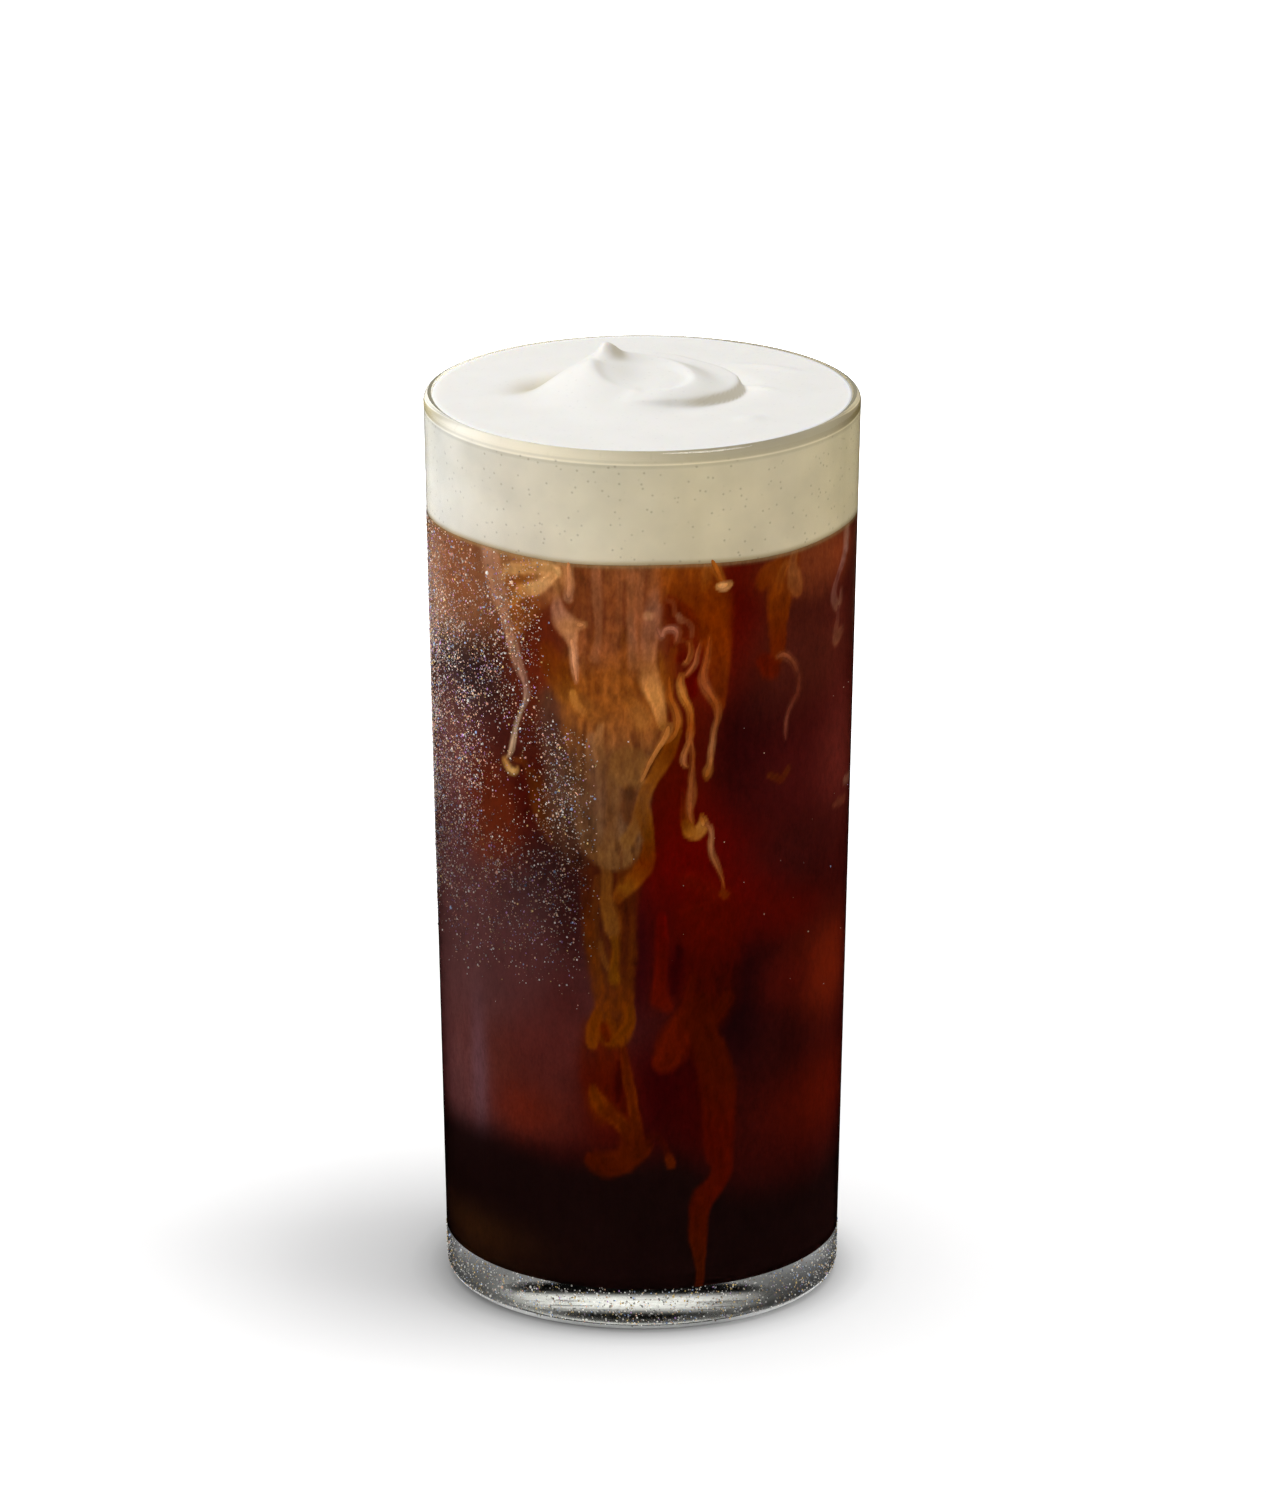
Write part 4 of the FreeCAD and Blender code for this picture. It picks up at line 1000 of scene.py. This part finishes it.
def dew_cover(bearing, height):
    """How thick the dew lies, 0 to 1, at a bearing and a height in millimetres."""
    start = -10 - 14 * eased((height - 108) / 8)
    side = eased((start - bearing) / 14) * eased((bearing + 128) / 40)
    rise = eased((height - 58) / 38) * (1 - 0.45 * eased((height - 128) / 12))
    clear = 1 - 0.88 * np.exp(-((bearing + 38) / 12) ** 4 - ((height - 99) / 15) ** 4)
    clump = eased((wisps(bearing / 9, height / 6, 61) - 0.25) / 0.35)
    right = 0.0012 * eased((bearing + 15) / 10) * eased((122 - height) / 20) * eased((height - 45) / 20)
    return side * rise * clear * (0.4 + 0.6 * clump) + right


def dew_glint(bearing, height):
    """How brightly the dew glints: strongest where it catches the light on the upper left."""
    high = 0.42 + 0.58 * eased((height - 82) / 20)
    return high * (1 + 0.5 * np.exp(-((bearing + 60) / 20) ** 2 - ((height - 114) / 11) ** 2))


def dew(name, seed, count, levels, cover, shine, size, weights, gain):
    """Low closed domes on the outside of the glass, each five-sided and of one tint.

    Places are drawn evenly over the wall and kept with the chance that cover gives. Sizes scatter round
    the given width, and most drops are dimmer than the brightest, which shine sets from place to place.
    """
    draw = np.random.default_rng(seed)
    bearing, height = draw.uniform(-180, 180, 60 * count), draw.uniform(*levels, 60 * count)
    kept = np.flatnonzero(draw.random(60 * count) < cover(bearing, height))[:count]
    bright = gain * shine(bearing[kept], height[kept])[:, None]
    bearing, z = np.radians(bearing[kept]), height[kept] * MM
    heel = HEEL_RADIUS - np.minimum(z, HEEL_RADIUS)
    wall = outer_wall(np.maximum(z, HEEL_RADIUS)) - HEEL_RADIUS + np.sqrt(HEEL_RADIUS ** 2 - heel ** 2)
    half = 0.5 * size * MM * np.exp(0.32 * draw.normal(size=len(z)))[:, None]
    turn = draw.uniform(0, ROUND, (len(z), 1)) + np.arange(DROP_SIDES) * ROUND / DROP_SIDES
    tall = draw.uniform(0.85, 1.3, (len(z), 1))
    flat = np.zeros((len(z), 1))
    sideways = np.concatenate([flat, half * np.cos(turn), 0.62 * half * np.cos(turn), flat], 1)
    upwards = np.concatenate([flat, half * np.sin(turn), 0.62 * half * np.sin(turn), flat], 1) * tall
    proud = np.concatenate([flat - 0.03 * MM, 0 * turn - 0.01 * MM, 0.5 * half + 0 * turn, 0.68 * half], 1)
    out = outward(bearing)
    radius = wall[:, None] + proud
    x = radius * out[:, :1] - sideways * out[:, 1:]
    y = radius * out[:, 1:] + sideways * out[:, :1]
    points = np.stack([x, y, z[:, None] + upwards], -1).reshape(-1, 3)
    step = np.arange(DROP_SIDES)
    after = (step + 1) % DROP_SIDES
    low, high = 1, 1 + DROP_SIDES
    below = np.stack([0 * step, low + after, low + step], -1)
    above = np.stack([high + step, high + after, 0 * step + DROP_POINTS - 1], -1)
    skirt = np.stack([low + step, low + after, high + after, high + step], -1)
    first = DROP_POINTS * np.arange(len(z))[:, None, None]
    faces = sum(((first + kind).reshape(-1, kind.shape[1]).tolist() for kind in (below, above, skirt)), [])
    piece = smooth_piece(name, points, faces)
    tint = np.array([linear(*glint) for glint in GLINTS])[draw.choice(len(GLINTS), len(z), p=weights)]
    tint = bright * tint * draw.uniform(0.2, 1, (len(z), 1)) ** 1.5
    colour_vertices(piece, "glint", tint.repeat(DROP_POINTS, 0))
    return piece


def wet(piece):
    """Give a piece the look of water; it stays on the glass."""
    piece.data.materials.append(water)
    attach(piece, "root")


water, tree, shader = new_material("water_drops", Roughness=0.12, IOR=1.33)
tree.links.new(stored_colour(tree, "glint")["Color"], shader.inputs["Base Color"])

wet(dew("wall_dew", 11, 9800, WALL_LEVELS, dew_cover, dew_glint,
        size=0.23, weights=(0.3, 0.28, 0.2, 0.09, 0.07, 0.06), gain=1.75))
wet(dew("wall_mist", 13, 9800, WALL_LEVELS, dew_cover, dew_glint,
        size=0.17, weights=(0.26, 0.3, 0.2, 0.1, 0.08, 0.06), gain=1.35))


# ==== Dew on the base =================================================================================
# More drops of the same water stand all round the thick clear base, from its heel to the level of the
# floor. They glint mostly white, and fewer stand at the very back.

BASE_LEVELS = (1.2, 8.3)


def base_cover(bearing, height):
    """Drops on the base: fewer at its very back."""
    return 0.35 + 0.65 * eased((100 - np.abs(bearing)) / 40) * wisps(bearing / 7, height / 2, 62)


def base_glint(bearing, height):
    """The drops on the base glint a little less on the right."""
    return 0.75 + 0.25 * eased((20 - bearing) / 60) + 0 * height


wet(dew("base_dew", 12, 3600, BASE_LEVELS, base_cover, base_glint,
        size=0.23, weights=(0.6, 0.12, 0, 0.02, 0.1, 0.16), gain=1.5))


# ==== Table ===========================================================================================
# A plain matt white table top, wide enough to run out of sight. A shadow is painted on it, darkest right
# under the glass, and what the clear base shows and mirrors of it is toned by the kind of ray that meets it,
# with a painted highlight ring under the foot.

HALF_TABLE = 3
FULL_GREY = 0.8


def by_sight(tree, kind, outside, inside, shown, reflected):
    """A value or colour that differs with the kind of ray that meets it.

    Outside is for the light it gives to bare surfaces, inside for the light it gives through the glass,
    shown for what is seen straight or through the glass, and reflected for what a polished skin mirrors.
    """
    path = add(tree, "LightPath", {}).outputs
    passing = path["Is Transmission Ray"]
    lighting = combined(tree, "GREATER_THAN", path["Diffuse Depth"], 0.5, clamp=True)
    through = combined(tree, "MULTIPLY", lighting, passing, clamp=True)
    straight = combined(tree, "MAXIMUM", path["Is Camera Ray"], passing, clamp=True)
    straight = combined(tree, "SUBTRACT", straight, lighting, clamp=True)
    mirrored = combined(tree, "SUBTRACT", path["Is Glossy Ray"], passing, clamp=True)
    once = combined(tree, "LESS_THAN", path["Glossy Depth"], 1.5, clamp=True)
    mirrored = combined(tree, "MULTIPLY", mirrored, once, clamp=True)
    result = outside
    for factor, value in ((through, inside), (straight, shown), (mirrored, reflected)):
        mix = add(tree, "Mix", {"A": result, "B": value, "Factor": factor}, data_type=kind)
        result = mix.outputs["Result"]
    return result


def grey(level):
    """A neutral colour."""
    return (level, level, level, 1)


table_mesh = bpy.data.meshes.new("table")
corners = [(-HALF_TABLE, -HALF_TABLE, 0), (HALF_TABLE, -HALF_TABLE, 0),
           (HALF_TABLE, HALF_TABLE, 0), (-HALF_TABLE, HALF_TABLE, 0)]
table_mesh.from_pydata(corners, [], [(0, 1, 2, 3)])
table = in_scene("table", table_mesh)

white_table, tree, shader = new_material("white_table", Roughness=1.0, Specular_IOR_Level=0.0)
place = coordinates(tree)
reach = add(tree, "VectorMath", {0: place}, operation="LENGTH").outputs["Value"]
# Painted shadow: the grey is darkest under the glass and grows lighter outwards.
PAINTED_SHADOW_STEPS = {0.04: 0.1, 0.084: 0.5, 0.148: 0.7, 0.221: 0.83, 0.304: 0.88, 0.469: 0.925, 0.68: 0.965}
painted_shadow = add(tree, "ValToRGB", {"Fac": mapped(tree, reach, 0.03, 0.085)})
painted_shadow.color_ramp.elements[0].color = grey(0.1)
painted_shadow.color_ramp.elements[1].color = grey(1.0)
for position, level in PAINTED_SHADOW_STEPS.items():
    painted_shadow.color_ramp.elements.new(position).color = grey(level)
near_far = mapped(tree, reach, 0.12, 0.7, 1.25, 3.0, smooth=True)
darker = combined(tree, "MULTIPLY", painted_shadow.outputs["Color"], near_far)
# A painted highlight: a bright ring under the foot at the left and the right, seen only in mirror rays,
# which the heel shows as bright lines.
side = axes_of(tree, place)["X"]
left_right = mapped(tree, side, -0.2, 0.2, 3.0, 1.3)
flank = mapped(tree, combined(tree, "ABSOLUTE", side), 0.012, 0.022, 0.0, 2.2, smooth=True)
foot_line = mapped(tree, reach, 0.0349, 0.0344, smooth=True)
glow = combined(tree, "MULTIPLY", flank, foot_line)
colour = by_sight(tree, "RGBA", grey(FULL_GREY), left_right, darker, glow)
tree.links.new(colour, shader.inputs["Base Color"])
table.data.materials.append(white_table)


# ==== Light ===========================================================================================
# A wide white surround, brighter to the left through the glass, with a soft box at the upper left that
# lights everything but the glass, and a larger soft light from above.

AIM = (0, 0, 0.1)


def soft_lamp(name, place, aim, width, power):
    """A square soft box at a place, turned to face its aim."""
    lamp = bpy.data.lights.new(name, "AREA")
    lamp.shape = "SQUARE"
    lamp.size = width
    lamp.energy = power
    holder = in_scene(name, lamp)
    holder.location = place
    holder.rotation_euler = (Vector(aim) - Vector(place)).to_track_quat("-Z", "Y").to_euler()
    return holder


world = bpy.data.worlds.new("white_surround")
bpy.context.scene.world = world
world.use_nodes = True
tree = world.node_tree
background = tree.nodes["Background"]
direction = axes_of(tree, coordinates(tree, "Generated"))
strength = by_sight(tree, "FLOAT", 0.3, mapped(tree, direction["X"], -1, 1, 3.0, 1.3), 1.0, 0.3)
tree.links.new(strength, background.inputs["Strength"])
background.inputs["Color"].default_value = (1, 1, 1, 1)

key = soft_lamp("key", (-0.95, 0.25, 0.75), AIM, 0.5, 8.2)
key.data.use_shadow = False
past_glass = bpy.data.collections.new("past_glass")
past_glass.objects.link(glass)
past_glass.collection_objects[0].light_linking.link_state = "EXCLUDE"
key.light_linking.receiver_collection = past_glass
soft_lamp("fill", (0.42, -0.06, 1.45), AIM, 0.55, 7.4)


# ==== Camera ==========================================================================================
# In front of the drink and a little above its lip, far enough away to keep the glass nearly straight.

CAMERA_RISE = math.radians(18.5)
CAMERA_DISTANCE = 1.7
CAMERA_PIVOT = 0.08
CAMERA_AIM = (-0.0016, 0.0051, 0.0953)

camera_data = bpy.data.cameras.new("camera")
camera_data.lens = 232.9
camera_data.sensor_width = 36
camera = in_scene("camera", camera_data)
bpy.context.scene.camera = camera
camera.location = (0, -CAMERA_DISTANCE * math.cos(CAMERA_RISE),
                   CAMERA_PIVOT + CAMERA_DISTANCE * math.sin(CAMERA_RISE))
camera.rotation_euler = (Vector(CAMERA_AIM) - camera.location).to_track_quat("-Z", "Y").to_euler()

bpy.context.scene.view_settings.view_transform = "Standard"
